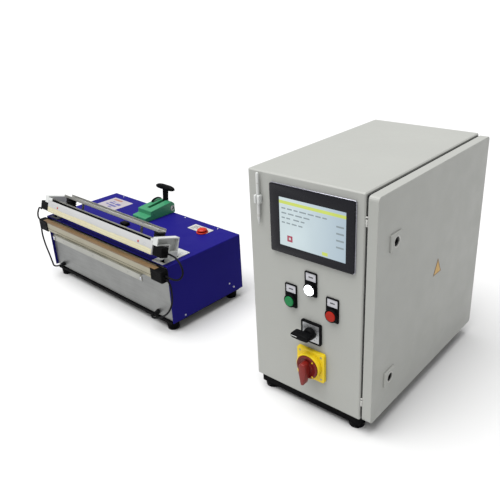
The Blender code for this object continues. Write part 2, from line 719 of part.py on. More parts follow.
def build_leads(unit):
    """Free leads between the jaws' end caps and from the lower caps to the front panel, in millimetres."""
    routes = {
        "left_jaw_lead": [
            (-4.6, -10, 229), (-11, -9, 230), (-22, -8, 228), (-31, -8, 219), (-36, -10, 206),
            (-34, -12, 195), (-24, -13, 188), (-14, -13, 187), (-6, -13, 187),
        ],
        "left_supply_lead": [
            (-6, -13, 174), (-13, -13, 173), (-24, -13, 161), (-27, -13, 132), (-20, -13, 100),
            (-4, -14, 70), (14, -18, 50), (28, -22, 42.5), (38, -20, 41.5), (44, -13, 42), (44, -6.6, 42),
        ],
        "right_jaw_lead": [
            (602.6, 8, 238), (618, 8, 238.5), (640, 6, 236), (661, 3, 224), (671, -1, 206), (664, -6, 190),
            (648, -10, 183), (630, -13, 184), (613, -13, 185),
        ],
        "right_supply_lead": [
            (613, -13, 174), (620, -13, 173.5), (630, -13, 160), (631, -13, 128), (622, -13, 96),
            (600, -14, 66), (572, -18, 47), (551, -22, 40.5), (540, -20, 41), (535, -13, 42),
            (535, -6.6, 42),
        ],
    }
    for name, route in routes.items():
        lead(name, unit, [Vector(point) * MM for point in route])


# ---------------------------------------------------------------- cabinet


def build_cabinet_body(cabinet):
    body = bevel(boxes("cabinet_body", cabinet, [
        ((0, 0, 0), (CABINET_WIDTH, CABINET_SIDE, CABINET_SIDE)),
    ], "grey_paint"), 2.5 * MM)
    wall = CABINET_SHEET
    inside = boxes("cabinet_inside", cabinet, [
        ((wall, wall, wall), (CABINET_WIDTH - wall, CABINET_SIDE - wall, CABINET_SIDE - wall)),
    ])
    lip = 20 * MM
    mouth = boxes("cabinet_mouth", cabinet, [
        (
            (CABINET_WIDTH - 5 * MM, lip, lip),
            (CABINET_WIDTH + 5 * MM, CABINET_SIDE - lip, CABINET_SIDE - lip),
        ),
    ])
    centres = [*BUTTONS.values(), SELECTOR, MAIN_SWITCH]
    starts = [centre - Vector((0, 5 * MM, 0)) for centre in centres]
    holes = cylinders("panel_holes", cabinet, starts, "Y", 10 * MM, PANEL_HOLE)
    hmi_hole = boxes("hmi_cutout", cabinet, [
        (HMI_LOW + Vector((8 * MM, -5 * MM, 8 * MM)), HMI_HIGH + Vector((-8 * MM, 5 * MM, -8 * MM))),
    ])
    gland_start = GLAND - Vector((0, 5 * MM, 0))
    gland_hole = cylinders("cabinet_gland_hole", cabinet, [gland_start], "Y", 10 * MM, 9 * MM)
    return cut(body, inside, mouth, holes, hmi_hole, gland_hole)


def build_plinth(cabinet):
    """Two black rails under the cabinet, tied together, each on two pads."""
    low = -24 * MM
    right = CABINET_WIDTH - 4 * MM
    front = boxes("cabinet_plinth", cabinet, [
        ((6 * MM, 8 * MM, low), (right, 48 * MM, -GAP)),
    ], "black_plastic")
    rear = boxes("plinth_rear", cabinet, [
        ((6 * MM, CABINET_SIDE - 48 * MM, low), (right, CABINET_SIDE - 8 * MM, -GAP)),
    ])
    ties = boxes("plinth_ties", cabinet, [
        ((x, 40 * MM, -8 * MM), (x + 30 * MM, CABINET_SIDE - 40 * MM, -2 * MM)) for x in (30 * MM, 210 * MM)
    ])
    across = (24 * MM, right - 18 * MM)
    along = (28 * MM, CABINET_SIDE - 28 * MM)
    pads = [(x, y, -CABINET_CORNER.z) for x in across for y in along]
    feet = cylinders("cabinet_feet", cabinet, pads, "Z", 13 * MM, 17 * MM, None, 20, 19 * MM)
    return fuse(bevel(front, 3 * MM), bevel(rear, 3 * MM), ties, feet)


def button_cylinders(name, cabinet, ahead, length, radius):
    """A cylinder at each of the three buttons, starting ahead of the panel's face."""
    starts = [centre - Vector((0, ahead, 0)) for centre in BUTTONS.values()]
    return cylinders(name, cabinet, starts, "Y", length, radius)


def build_panel_devices(cabinet):
    """What is mounted on the cabinet's front panel."""
    front = -GAP
    hmi = bevel(boxes("hmi_frame", cabinet, [
        (HMI_LOW + Vector((0, -7 * MM, 0)), HMI_HIGH + Vector((0, front, 0))),
    ], "black_plastic"), 1.5 * MM)
    housing = boxes("hmi_housing", cabinet, [
        (HMI_LOW + Vector((9 * MM, -2 * MM, 9 * MM)), HMI_HIGH + Vector((-9 * MM, 38 * MM, -9 * MM))),
    ])
    window = boxes("hmi_window", cabinet, [
        (SCREEN_LOW + Vector((0, -9 * MM, 0)), SCREEN_HIGH + Vector((0, -5 * MM, 0))),
    ])
    cut(fuse(hmi, housing), window)
    boxes("hmi_screen", cabinet, [
        (SCREEN_LOW + Vector((GAP, -6.4 * MM, GAP)), SCREEN_HIGH + Vector((-GAP, -5 * MM - GAP, -GAP))),
    ], "screen")

    carrier = boxes("button_station", cabinet, [
        ((85 * MM, 38 * MM, 217 * MM), (230 * MM, 46 * MM, 287 * MM)),
    ], "black_plastic")
    legend_low = Vector((-15 * MM, -3 * MM, -16 * MM))
    legend_high = Vector((15 * MM, front, 38 * MM))
    legends = boxes("legend_plates", cabinet, [
        (centre + legend_low, centre + legend_high) for centre in BUTTONS.values()
    ])
    collars = button_cylinders("button_collars", cabinet, 9 * MM, 8 * MM, 14.5 * MM)
    barrels = button_cylinders("button_barrels", cabinet, 2 * MM, 45 * MM, BARREL_RADIUS)
    wells = button_cylinders("button_wells", cabinet, 12 * MM, 30 * MM, 9.5 * MM)
    lens_wells = button_cylinders("lens_wells", cabinet, 12 * MM, 10.8 * MM, LENS_RADIUS + 2 * GAP)
    cut(fuse(carrier, bevel(legends, 1 * MM), collars, barrels), wells, lens_wells)

    half = 25 * MM
    plate = bevel(boxes("selector_plate", cabinet, [
        (SELECTOR + Vector((-half, -6 * MM, -half)), SELECTOR + Vector((half, front, half))),
    ], "black_plastic"), 2 * MM)
    start = SELECTOR - Vector((0, 3 * MM, 0))
    barrel = cylinders("selector_barrel", cabinet, [start], "Y", 50 * MM, BARREL_RADIUS)
    bore = cylinders("selector_bore", cabinet, [SELECTOR - Vector((0, 9 * MM, 0))], "Y", 30 * MM, 5 * MM)
    cut(fuse(plate, barrel), bore)

    half = 35 * MM
    plate = bevel(boxes("main_switch_plate", cabinet, [
        (MAIN_SWITCH + Vector((-half, -9 * MM, -half)), MAIN_SWITCH + Vector((half, front, half))),
    ], "yellow_plastic"), 3 * MM)
    front_of_ring = MAIN_SWITCH - Vector((0, 20 * MM, 0))
    ring = cylinders("main_switch_ring", cabinet, [front_of_ring], "Y", 13 * MM, 29.5 * MM)
    ahead = front_of_ring - Vector((0, MM, 0))
    recess = cylinders("main_switch_recess", cabinet, [ahead], "Y", 7 * MM, 27 * MM)
    behind_face = [MAIN_SWITCH - Vector((0, 3 * MM, 0))]
    barrel = cylinders("main_switch_barrel", cabinet, behind_face, "Y", 60 * MM, BARREL_RADIUS)
    bore = cylinders("main_switch_bore", cabinet, [ahead], "Y", 30 * MM, 5 * MM)
    cut(fuse(plate, ring, barrel), recess, bore)

    clip = boxes("stylus_holder", cabinet, [
        ((STYLUS_X - 7 * MM, -12 * MM, 432 * MM), (STYLUS_X + 7 * MM, front, 450 * MM)),
    ], "white_plastic")
    bore = cylinders("stylus_bore", cabinet, [(STYLUS_X, -6 * MM, 430 * MM)], "Z", 30 * MM, 3.6 * MM)
    cut(bevel(clip, 1 * MM), bore)


def build_push_button(cabinet, colour, centre):
    button = joint(colour + "_button_axis", centre, cabinet)
    return turned(colour + "_button", button, [centre - Vector((0, 11.5 * MM, 0))], "Y", [
        (8 * MM, 24 * MM), (8 * MM, 7 * MM), (LENS_RADIUS, 7 * MM), (LENS_RADIUS, 1.2 * MM), (9.8 * MM, 0),
    ], colour + "_plastic")


def build_knobs(cabinet):
    """The selector's wing knob points to the left; the main switch's knob has one lever, pointing down."""
    x, y, z = SELECTOR
    turn = joint("selector_axis", SELECTOR, cabinet)
    knob = cylinders("selector_knob", turn, [(x, -16 * MM, z)], "Y", 9.4 * MM, 17 * MM, "black_plastic")
    spindle = cylinders("selector_spindle", turn, [(x, -15 * MM, z)], "Y", 24 * MM, 4.6 * MM)
    wing = bevel(boxes("selector_wing", turn, [
        ((x - 31 * MM, -36 * MM, z - 7 * MM), (x + 14 * MM, -14 * MM, z + 7 * MM)),
    ]), 4 * MM)
    fuse(knob, spindle, wing)

    x, y, z = MAIN_SWITCH
    turn = joint("main_switch_axis", MAIN_SWITCH, cabinet)
    knob = cylinders("main_switch_knob", turn, [(x, -23 * MM, z)], "Y", 8.6 * MM, 26.4 * MM, "red_plastic")
    spindle = cylinders("main_switch_spindle", turn, [(x, -22 * MM, z)], "Y", 26 * MM, 4.6 * MM)
    lever = outline_plate("main_switch_lever", turn, [
        (x - 5 * MM, z - 36 * MM), (x + 3 * MM, z - 36 * MM), (x + 9 * MM, z - 12 * MM),
        (x + 8 * MM, z + 17 * MM), (x - 8 * MM, z + 17 * MM), (x - 10 * MM, z - 12 * MM),
    ], "XZ", -40 * MM, 19 * MM)
    fuse(knob, spindle, bevel(lever, 2 * MM))


def build_stylus(cabinet):
    centre = Vector((STYLUS_X, -6 * MM, 440 * MM))
    slide = joint("stylus_axis", centre, cabinet)
    return turned("stylus", slide, [(centre.x, centre.y, 385 * MM)], "Z", [
        (2.2 * MM, 112 * MM), (3.2 * MM, 110 * MM), (3.2 * MM, 12 * MM), (1 * MM, 0),
    ], "white_plastic", 12)


def build_door(cabinet):
    door = joint("door_axis", HINGE, cabinet)
    low = Vector((DOOR_BACK, 1 * MM, 2 * MM))
    high = Vector((DOOR_FRONT, 500 * MM, 496 * MM))
    outline = rounded_corners((low.y, low.z), (high.y, high.z), 8 * MM)
    depth = DOOR_FRONT - DOOR_BACK
    shell = outline_plate("cabinet_door", door, outline, "YZ", DOOR_BACK, depth, "grey_paint")
    bevel(shell, 2 * MM)
    rim = 13 * MM
    pocket = boxes("door_pocket", door, [
        (low + Vector((-MM, rim, rim)), Vector((DOOR_FRONT - 2 * MM, high.y - rim, high.z - rim))),
    ])
    pad_low = Vector((-MM, -20 * MM, -18 * MM))
    pad_high = Vector((4 * MM, 20 * MM, 18 * MM))
    pads = bevel(boxes("lock_pads", door, [
        (centre + pad_low, centre + pad_high) for centre in LOCKS.values()
    ]), 1.5 * MM)
    hole_starts = [c - Vector((8 * MM, 0, 0)) for c in LOCKS.values()]
    holes = cylinders("lock_holes", door, hole_starts, "X", 20 * MM, 10 * MM)
    knuckle = 29 * MM
    thickness = 4.5 * MM
    feet = [Vector((HINGE.x, HINGE.y, height)) for height in (85 * MM, 385 * MM)]
    knuckles = cylinders("door_knuckles", door, feet, "Z", knuckle, thickness)
    webs = boxes("knuckle_webs", door, [
        (foot - Vector((0, 11.5 * MM, 0)), foot + Vector((thickness, 0, knuckle))) for foot in feet
    ])
    bore_start = (HINGE.x, HINGE.y, 50 * MM)
    bore = cylinders("knuckle_bore", door, [bore_start], "Z", 400 * MM, 2.5 * MM + RUNNING_FIT)
    cut(fuse(cut(shell, pocket), pads, knuckles, webs), holes, bore)

    gasket = boxes("door_gasket", door, [
        ((CABINET_WIDTH + 0.6 * MM, 6 * MM, 6 * MM), (DOOR_BACK - GAP, 494 * MM, 494 * MM)),
    ], "rubber")
    cut(gasket, boxes("gasket_inside", door, [
        ((CABINET_WIDTH, 15 * MM, 15 * MM), (DOOR_BACK + MM, 485 * MM, 485 * MM)),
    ]))

    for name, centre in LOCKS.items():
        turn = joint("lock_" + name + "_axis", centre, door)
        start = centre - Vector((14 * MM, 0, 0))
        insert = cylinders("lock_insert_" + name, turn, [start], "X", 16 * MM, 9.6 * MM, "black_plastic")
        key_slot = boxes("key_slot_" + name, turn, [
            (centre + Vector((-3 * MM, -5 * MM, -1.5 * MM)), centre + Vector((4 * MM, 5 * MM, 1.5 * MM))),
        ])
        cam = boxes("cam_" + name, turn, [
            (centre + Vector((-17.5 * MM, -6 * MM, -5 * MM)), centre + Vector((-13 * MM, 6 * MM, 22 * MM))),
        ])
        cut(fuse(insert, cam), key_slot)


def build_hinge(cabinet):
    """One long pin in four lugs on the cabinet's rear face."""
    pin_start = (HINGE.x, HINGE.y, 74 * MM)
    pin = cylinders("door_hinge", cabinet, [pin_start], "Z", 351 * MM, 2.5 * MM, "steel", 16)
    lug_heights = [z * MM for z in (74, 115, 374, 415)]
    lug_feet = [(HINGE.x, HINGE.y, z) for z in lug_heights]
    rounds = cylinders("hinge_rounds", cabinet, lug_feet, "Z", 10 * MM, 4 * MM)
    lugs = boxes("hinge_lugs", cabinet, [
        ((250 * MM, CABINET_SIDE + GAP, z), (HINGE.x, HINGE.y + 3 * MM, z + 10 * MM)) for z in lug_heights
    ])
    return fuse(pin, rounds, lugs)


def build_cabinet_inside(cabinet):
    """A mounting plate on the left wall with the impulse transformer, and the gland at the rear."""
    plate = CABINET_SHEET + 13 * MM
    boxes("mounting_plate", cabinet, [
        ((plate - 3 * MM, 60 * MM, 30 * MM), (plate, 470 * MM, 470 * MM)),
    ], "steel")
    low = Vector((plate + GAP, 330 * MM, 60 * MM))
    high = low + Vector((100 * MM, 110 * MM, 95 * MM))
    core = bevel(boxes("transformer", cabinet, [(low, high)], "steel"), 3 * MM)
    coil = boxes("transformer_coil", cabinet, [
        (low + Vector((10 * MM, -18 * MM, 20 * MM)), low + Vector((88 * MM, 128 * MM, 75 * MM))),
    ])
    fuse(core, bevel(coil, 8 * MM))
    turned("cabinet_gland", cabinet, [(GLAND.x, CABINET_SIDE - 12 * MM, GLAND.z)], "Y", [
        (5 * MM, 26 * MM), (10 * MM, 24 * MM), (12 * MM, 19 * MM), (12 * MM, 12 * MM + GAP),
        (8.6 * MM, 12 * MM + GAP), (8.6 * MM, 0),
    ], "black_plastic", 16)


def main():
    sealer = frame("sealing_unit", -FOOTPRINT_CENTRE)
    build_fixed_sealer(sealer)
    build_sealing_arm(sealer)
    build_hand_lever(sealer)
    build_lever_catch(sealer)
    build_sealer_button(sealer)
    build_leads(sealer)

    cabinet = frame("control_cabinet", CABINET_CORNER - FOOTPRINT_CENTRE, None, (0, 0, CABINET_TURN))
    build_cabinet_body(cabinet)
    build_plinth(cabinet)
    build_panel_devices(cabinet)
    for colour, centre in BUTTONS.items():
        build_push_button(cabinet, colour, centre)
    build_knobs(cabinet)
    build_stylus(cabinet)
    build_door(cabinet)
    build_hinge(cabinet)
    build_cabinet_inside(cabinet)


main()
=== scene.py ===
"""Looks of a bench impulse heat sealer and its control cabinet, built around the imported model.

Shapes are written in millimetres, in the coordinates of the unit they belong to: the bench unit
from its cover's front left corner, the cabinet from its body's front left corner.  What swings
with the upper jaw is written as it lies when the jaw is closed.
"""

import json
import math

import bmesh
import bpy
from mathutils import Matrix, Vector


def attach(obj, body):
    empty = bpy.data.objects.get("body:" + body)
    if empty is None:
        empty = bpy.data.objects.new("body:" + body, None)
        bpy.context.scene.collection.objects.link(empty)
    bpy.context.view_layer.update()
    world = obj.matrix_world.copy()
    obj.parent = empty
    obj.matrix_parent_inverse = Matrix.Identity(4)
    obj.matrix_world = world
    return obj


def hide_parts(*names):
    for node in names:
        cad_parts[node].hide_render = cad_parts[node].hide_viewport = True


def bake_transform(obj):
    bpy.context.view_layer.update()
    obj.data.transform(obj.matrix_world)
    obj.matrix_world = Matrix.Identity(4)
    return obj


MM = 0.001

# The camera, as fitted to both units at once
CAMERA_PLACE = (1.137665, -1.076128, 0.895)
CAMERA_AZIMUTH = math.radians(42.76)
CAMERA_ELEVATION = math.radians(23.55)
CAMERA_ROLL = math.radians(-2.31)
CAMERA_LENS = 43.33
CAMERA_SHIFT = (-0.0364, -0.0302)

# Soft light from above, and a floor that reaches past the edges of the photo's view
SUN_ENERGY = 4.6
SUN_SPREAD = math.radians(55)
SUN_DIRECTION = (0.1, 0.28, -0.95)
SKY_STRENGTH = 0.5
FLOOR_HALF = 400
FLOOR_DROP = 0.0003

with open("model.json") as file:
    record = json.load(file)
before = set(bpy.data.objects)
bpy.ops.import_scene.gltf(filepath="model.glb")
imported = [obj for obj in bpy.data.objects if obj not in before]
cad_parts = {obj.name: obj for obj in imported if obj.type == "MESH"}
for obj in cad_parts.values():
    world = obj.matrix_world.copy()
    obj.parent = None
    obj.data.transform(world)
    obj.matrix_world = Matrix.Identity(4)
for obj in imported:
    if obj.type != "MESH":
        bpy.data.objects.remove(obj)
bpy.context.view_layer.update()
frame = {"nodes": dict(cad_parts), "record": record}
NODES = frame["nodes"]

# Where the units stand, and the swinging jaw as it rests: open
SEALER = Matrix.Translation((-0.616935, -0.226428, 0))
ARM_PIVOT = Vector((0, 0.082, 0.173))
OPEN_TURN = Matrix.Rotation(math.radians(-17), 4, "X")
ARM = SEALER @ Matrix.Translation(ARM_PIVOT) @ OPEN_TURN @ Matrix.Translation(-ARM_PIVOT)
CABINET = Matrix.Translation((0.318365, -0.243828, 0.036)) @ Matrix.Rotation(math.radians(2.12), 4, "Z")
HANG = {"S": (SEALER, "root"), "A": (ARM, "sealing_arm"), "L": (SEALER, "hand_lever"), "K": (CABINET, "root")}
AXIS_TURNS = {
    "X": Matrix.Rotation(math.pi / 2, 4, "Y"),
    "Y": Matrix.Rotation(-math.pi / 2, 4, "X"),
    "Z": Matrix.Identity(4),
}

# ---------------------------------------------------------------- camera, lights and floor


def build_camera():
    """The photo's view."""
    flat = math.cos(CAMERA_ELEVATION)
    forward = Vector((
        -math.sin(CAMERA_AZIMUTH) * flat, math.cos(CAMERA_AZIMUTH) * flat, -math.sin(CAMERA_ELEVATION),
    ))
    level = forward.cross(Vector((0, 0, 1))).normalized()
    up = level.cross(forward)
    across = math.cos(CAMERA_ROLL) * level + math.sin(CAMERA_ROLL) * up
    upward = -math.sin(CAMERA_ROLL) * level + math.cos(CAMERA_ROLL) * up
    data = bpy.data.cameras.new("camera")
    data.lens = CAMERA_LENS
    data.sensor_width = 36
    data.shift_x, data.shift_y = CAMERA_SHIFT
    camera = bpy.data.objects.new("camera", data)
    turn = Matrix((across, upward, -forward)).transposed().to_4x4()
    camera.matrix_world = Matrix.Translation(CAMERA_PLACE) @ turn
    bpy.context.scene.collection.objects.link(camera)
    bpy.context.scene.camera = camera


def build_stage():
    """Even sky, one soft sun and the floor."""
    world = bpy.data.worlds.new("world")
    world.use_nodes = True
    background = world.node_tree.nodes["Background"]
    background.inputs["Color"].default_value = (1.0, 1.0, 1.0, 1)
    background.inputs["Strength"].default_value = SKY_STRENGTH
    bpy.context.scene.world = world
    bpy.context.scene.view_settings.view_transform = "Standard"
    sun = bpy.data.lights.new("sun", "SUN")
    sun.energy = SUN_ENERGY
    sun.angle = SUN_SPREAD
    light = bpy.data.objects.new("sun", sun)
    light.rotation_euler = Vector(SUN_DIRECTION).to_track_quat("-Z", "Y").to_euler()
    bpy.context.scene.collection.objects.link(light)
    mesh = bpy.data.meshes.new("floor")
    corners = [(x * FLOOR_HALF, y * FLOOR_HALF, 0) for x, y in ((-1, -1), (1, -1), (1, 1), (-1, 1))]
    mesh.from_pydata(corners, [], [(0, 1, 2, 3)])
    floor = bpy.data.objects.new("floor", mesh)
    floor.location.z = -FLOOR_DROP
    bpy.context.scene.collection.objects.link(floor)
    material = bpy.data.materials.new("floor")
    material.use_nodes = True
    shader = material.node_tree.nodes["Principled BSDF"]
    shader.inputs["Base Color"].default_value = (0.6, 0.6, 0.6, 1)
    shader.inputs["Roughness"].default_value = 0.7
    mesh.materials.append(material)


# ---------------------------------------------------------------- materials


class Looks:
    """A material's node tree, with short calls for the nodes used here."""

    def __init__(self, name, roughness, metallic=0.0, **inputs):
        self.material = bpy.data.materials.new(name)
        self.material.use_nodes = True
        self.tree = self.material.node_tree
        self.shader = self.tree.nodes["Principled BSDF"]
        self.shader.inputs["Roughness"].default_value = roughness
        self.shader.inputs["Metallic"].default_value = metallic
        for key, value in inputs.items():
            self.shader.inputs[key.replace("_", " ")].default_value = value
        self.place = self.tree.nodes.new("ShaderNodeTexCoord").outputs["Object"]

    def link(self, source, target):
        self.tree.links.new(source, target)

    def stretched(self, scale):
        node = self.tree.nodes.new("ShaderNodeMapping")
        node.inputs["Scale"].default_value = scale
        self.link(self.place, node.inputs["Vector"])
        return node.outputs["Vector"]

    def noise(self, scale, detail, place=None):
        node = self.tree.nodes.new("ShaderNodeTexNoise")
        node.inputs["Scale"].default_value = scale
        node.inputs["Detail"].default_value = detail
        self.link(place or self.place, node.inputs["Vector"])
        return node.outputs["Fac"]

    def wave(self, scale, direction):
        node = self.tree.nodes.new("ShaderNodeTexWave")
        node.bands_direction = direction
        node.inputs["Scale"].default_value = scale
        self.link(self.place, node.inputs["Vector"])
        return node.outputs["Fac"]

    def ranged(self, value, low, high, start=0.3, end=0.7):
        node = self.tree.nodes.new("ShaderNodeMapRange")
        node.inputs["From Min"].default_value = start
        node.inputs["From Max"].default_value = end
        node.inputs["To Min"].default_value = low
        node.inputs["To Max"].default_value = high
        self.link(value, node.inputs["Value"])
        return node.outputs["Result"]

    def product(self, first, second):
        node = self.tree.nodes.new("ShaderNodeMath")
        node.operation = "MULTIPLY"
        self.link(first, node.inputs[0])
        self.link(second, node.inputs[1])
        return node.outputs["Value"]

    def blend(self, factor, first, second):
        """Between two colours, either of which may come from another node."""
        node = self.tree.nodes.new("ShaderNodeMix")
        node.data_type = "RGBA"
        self.link(factor, node.inputs["Factor"])
        for socket, value in ((node.inputs[6], first), (node.inputs[7], second)):
            if isinstance(value, tuple):
                socket.default_value = (*value, 1)
            else:
                self.link(value, socket)
        return node.outputs[2]

    def drift(self, color, spread, scale, detail):
        """Slow changes of tone either side of a colour."""
        slow = self.ranged(self.noise(scale, detail), 0, 1)
        return self.blend(slow, shade(color, 1 - spread), shade(color, 1 + spread))

    def color(self, source):
        self.link(source, self.shader.inputs["Base Color"])

    def rough(self, value, low, high):
        self.link(self.ranged(value, low, high), self.shader.inputs["Roughness"])

    def bump(self, height, strength, depth):
        node = self.tree.nodes.new("ShaderNodeBump")
        node.inputs["Strength"].default_value = strength
        node.inputs["Distance"].default_value = depth * MM
        self.link(height, node.inputs["Height"])
        if self.shader.inputs["Normal"].is_linked:
            self.link(self.shader.inputs["Normal"].links[0].from_socket, node.inputs["Normal"])
        self.link(node.outputs["Normal"], self.shader.inputs["Normal"])


def shade(color, amount):
    """A colour made lighter or darker."""
    return tuple(min(1.0, channel * amount) for channel in color)


def paint(name, color, roughness, peel, depth, spread, gloss):
    """Powder coat: orange peel, a slow drift of tone, faint handling marks and specks."""
    looks = Looks(name, roughness, Specular_IOR_Level=gloss)
    specks = looks.ranged(looks.noise(420, 2), 0, 0.35, 0.62, 0.78)
    looks.color(looks.blend(specks, looks.drift(color, spread, 4, 5), shade(color, 0.8)))
    looks.rough(looks.noise(22, 6), roughness - 0.07, roughness + 0.09)
    looks.bump(looks.noise(peel, 2), 0.35, depth)
    looks.bump(looks.noise(26, 4), 0.1, 0.2)
    return looks.material


def metal(name, color, roughness, spread, grain=(12, 500, 500)):
    """Brushed or rolled metal, with its streaks along X unless the grain is even, and a few dull patches."""
    looks = Looks(name, roughness, 1.0)
    streaks = looks.noise(1.0, 4, looks.stretched(grain))
    stained = looks.ranged(looks.noise(18, 6), 0, 1)
    toned = looks.blend(looks.ranged(streaks, 0, 1), shade(color, 1 - spread), shade(color, 1 + spread))
    looks.color(looks.blend(stained, toned, shade(color, 0.88)))
    looks.rough(streaks, roughness - 0.08, roughness + 0.14)
    looks.bump(streaks, 0.25, 0.03)
    return looks.material


def plastic(name, color, roughness=0.35, grain=0.03, spread=0.06, **inputs):
    """Moulded plastic: a fine grain, slight tone changes and a little rub on the gloss."""
    looks = Looks(name, roughness, **inputs)
    looks.color(looks.drift(color, spread, 30, 5))
    looks.rough(looks.noise(90, 5), roughness - 0.06, roughness + 0.12)
    looks.bump(looks.noise(1800, 2), 0.3, grain)
    return looks.material


def rubber(name, color=(0.007, 0.007, 0.008), roughness=0.62):
    """Rubber with a bloom of dust and a matt, pitted skin."""
    looks = Looks(name, roughness, Specular_IOR_Level=0.07)
    bloom = looks.ranged(looks.noise(55, 6), 0, 0.3, 0.45, 0.75)
    looks.color(looks.blend(bloom, color, (0.018, 0.018, 0.018)))
    looks.rough(looks.noise(120, 4), roughness - 0.1, roughness + 0.15)
    looks.bump(looks.noise(1500, 3), 0.4, 0.05)
    return looks.material


def cloth(name, color, dark, scorch, pitch=0.6, roughness=0.5):
    """Release-coated woven glass: crossing threads under a thin skin, with scorched stretches."""
    looks = Looks(name, roughness, Sheen_Weight=0.15)
    rate = 1 / (pitch * MM) / 20 * math.tau / math.pi
    warp = looks.wave(rate, "X")
    weft = looks.wave(rate, "Y")
    weave = looks.product(warp, weft)
    toned = looks.blend(looks.ranged(weave, 0, 1, 0, 1), dark, color)
    patches = looks.ranged(looks.noise(1.0, 6, looks.stretched((9, 60, 60))), 0, 0.75, 0.4, 0.75)
    looks.color(looks.blend(patches, toned, scorch))
    looks.rough(looks.noise(70, 5), roughness - 0.12, roughness + 0.1)
    looks.bump(weave, 0.35, 0.06)
    looks.bump(looks.noise(35, 4), 0.25, 0.3)
    return looks.material


def lit(name, color, strength, roughness=0.25, spread=0.06, far=None):
    """A lit surface behind a clear skin, a little uneven and, across the display, paler to one side."""
    looks = Looks(name, roughness, Specular_IOR_Level=0.2)
    looks.shader.inputs["Base Color"].default_value = (0.02, 0.02, 0.025, 1)
    glow = looks.drift(color, spread, 14, 3)
    if far:
        across = looks.tree.nodes.new("ShaderNodeSeparateXYZ")
        looks.link(looks.place, across.inputs["Vector"])
        start = CABINET.translation.x
        place = looks.ranged(across.outputs["X"], 0, 1, start + 0.12, start + 0.24)
        glow = looks.blend(place, glow, far)
    looks.link(glow, looks.shader.inputs["Emission Color"])
    looks.shader.inputs["Emission Strength"].default_value = strength
    looks.bump(looks.noise(1200, 2), 0.1, 0.01)
    return looks.material


BLUE = paint("blue_powder_coat", (0.0105, 0.0082, 0.14), 0.42, 800, 0.05, 0.05, 0.03)
GREEN = paint("green_paint", (0.032, 0.2, 0.095), 0.34, 500, 0.05, 0.07, 0.3)
GREY = paint("grey_powder_coat", (0.33, 0.335, 0.315), 0.42, 620, 0.09, 0.02, 0.3)
PAD_GREY = plastic("pad_grey", (0.42, 0.42, 0.4), 0.4)
PANEL = metal("panel_steel", (0.3, 0.305, 0.3), 0.45, 0.05)
BRACKET = paint("bracket_paint", (0.5, 0.51, 0.5), 0.36, 500, 0.05, 0.05, 0.3)
# Painted shade: the left slot plate is the same part as the right one, made dark to stand for the shade under
# the arm
SHADED_SLOT_PLATE = metal("slot_plate_painted_shade", (0.1, 0.1, 0.13), 0.4, 0.1)
ALUMINIUM = metal("extruded_aluminium", (0.42, 0.42, 0.385), 0.38, 0.08)
# Painted reflection: the lower jaw's warm tint stands for the cream and brown tape reflected in its metal
JAW_METAL_TAPE_REFLECTION = metal("jaw_metal_painted_reflection", (0.4, 0.375, 0.29), 0.42, 0.08)
STEEL = metal("machined_steel", (0.3, 0.3, 0.3), 0.36, 0.15)
CHROME = metal("bright_screw", (0.5, 0.51, 0.57), 0.28, 0.06, (60, 60, 60))
RAIL = metal("rolled_channel", (0.46, 0.46, 0.43), 0.36, 0.2)
JAW_WHITE = paint("jaw_coat", (0.4, 0.402, 0.402), 0.4, 600, 0.05, 0.05, 0.3)
CREAM = cloth("cream_release_cloth", (0.57, 0.54, 0.38), (0.45, 0.42, 0.27), (0.48, 0.41, 0.25))
BROWN = cloth("brown_release_tape", (0.135, 0.073, 0.016), (0.09, 0.045, 0.01), (0.16, 0.09, 0.03))
BAND = metal("resistance_band", (0.42, 0.34, 0.22), 0.34, 0.2)
BLACK = plastic("black_moulding", (0.003, 0.003, 0.0035), 0.5, Specular_IOR_Level=0.03)
SATIN_BLACK = plastic("satin_black", (0.0035, 0.0035, 0.004), 0.4, Specular_IOR_Level=0.04)
BEZEL = plastic("bezel_film", (0.005, 0.005, 0.008), 0.22, 0.004, 0.04, Specular_IOR_Level=0.18)
RUBBER = rubber("black_rubber")
LEAD = rubber("lead_sheath", (0.004, 0.004, 0.005), 0.5)
RED = plastic("red_moulding", (0.4, 0.02, 0.009), 0.32, 0.01, 0.06, Specular_IOR_Level=0.2)
DARK_RED = plastic("dark_red_moulding", (0.17, 0.01, 0.007), 0.34, 0.02, 0.06, Specular_IOR_Level=0.3)
DISC_RED = plastic("disc_red_moulding", (0.13, 0.009, 0.007), 0.38, 0.02, 0.06, Specular_IOR_Level=0.25)
GREEN_LENS = plastic("green_lens", (0.008, 0.17, 0.05), 0.28, 0.008, 0.08, Specular_IOR_Level=0.2)
RED_LENS = plastic("red_lens", (0.3, 0.014, 0.007), 0.3, 0.008, 0.08, Specular_IOR_Level=0.12)
WHITE = plastic("white_moulding", (0.5, 0.51, 0.5), 0.34, Specular_IOR_Level=0.3)
YELLOW = plastic("yellow_moulding", (0.66, 0.48, 0.012), 0.33, 0.012, 0.05, Specular_IOR_Level=0.3)
AMBER = plastic("amber_film", (0.16, 0.085, 0.02), 0.4, 0.005)
AMBER_INNER = plastic("amber_inner_film", (0.48, 0.28, 0.05), 0.4, 0.005)
BEZEL_RIM = metal("bezel_rim", (0.4, 0.4, 0.45), 0.3, 0.06)
INLAY = metal("silver_inlay", (0.5, 0.51, 0.52), 0.42, 0.05)
STICKER = plastic("sticker_film", (0.43, 0.43, 0.46), 0.42, 0.01, 0.03)
PRINT_BASE = plastic("print_base", (0.34, 0.31, 0.33), 0.42, 0.01, 0.05)
STICKER_BLUE = plastic("sticker_blue", (0.075, 0.075, 0.24), 0.42, 0.01)
STICKER_ORANGE = plastic("sticker_orange", (0.3, 0.13, 0.09), 0.42, 0.01)
INK = plastic("ink", (0.03, 0.03, 0.035), 0.5, 0.005)
COIL = plastic("coil_lacquer", (0.32, 0.12, 0.05), 0.3)
LAMP = lit("lamp_glow", (0.9, 0.92, 1.0), 6.0)
SCREEN = lit("screen_glow", (0.58, 0.68, 0.7), 1.0, far=(0.4, 0.5, 0.57))
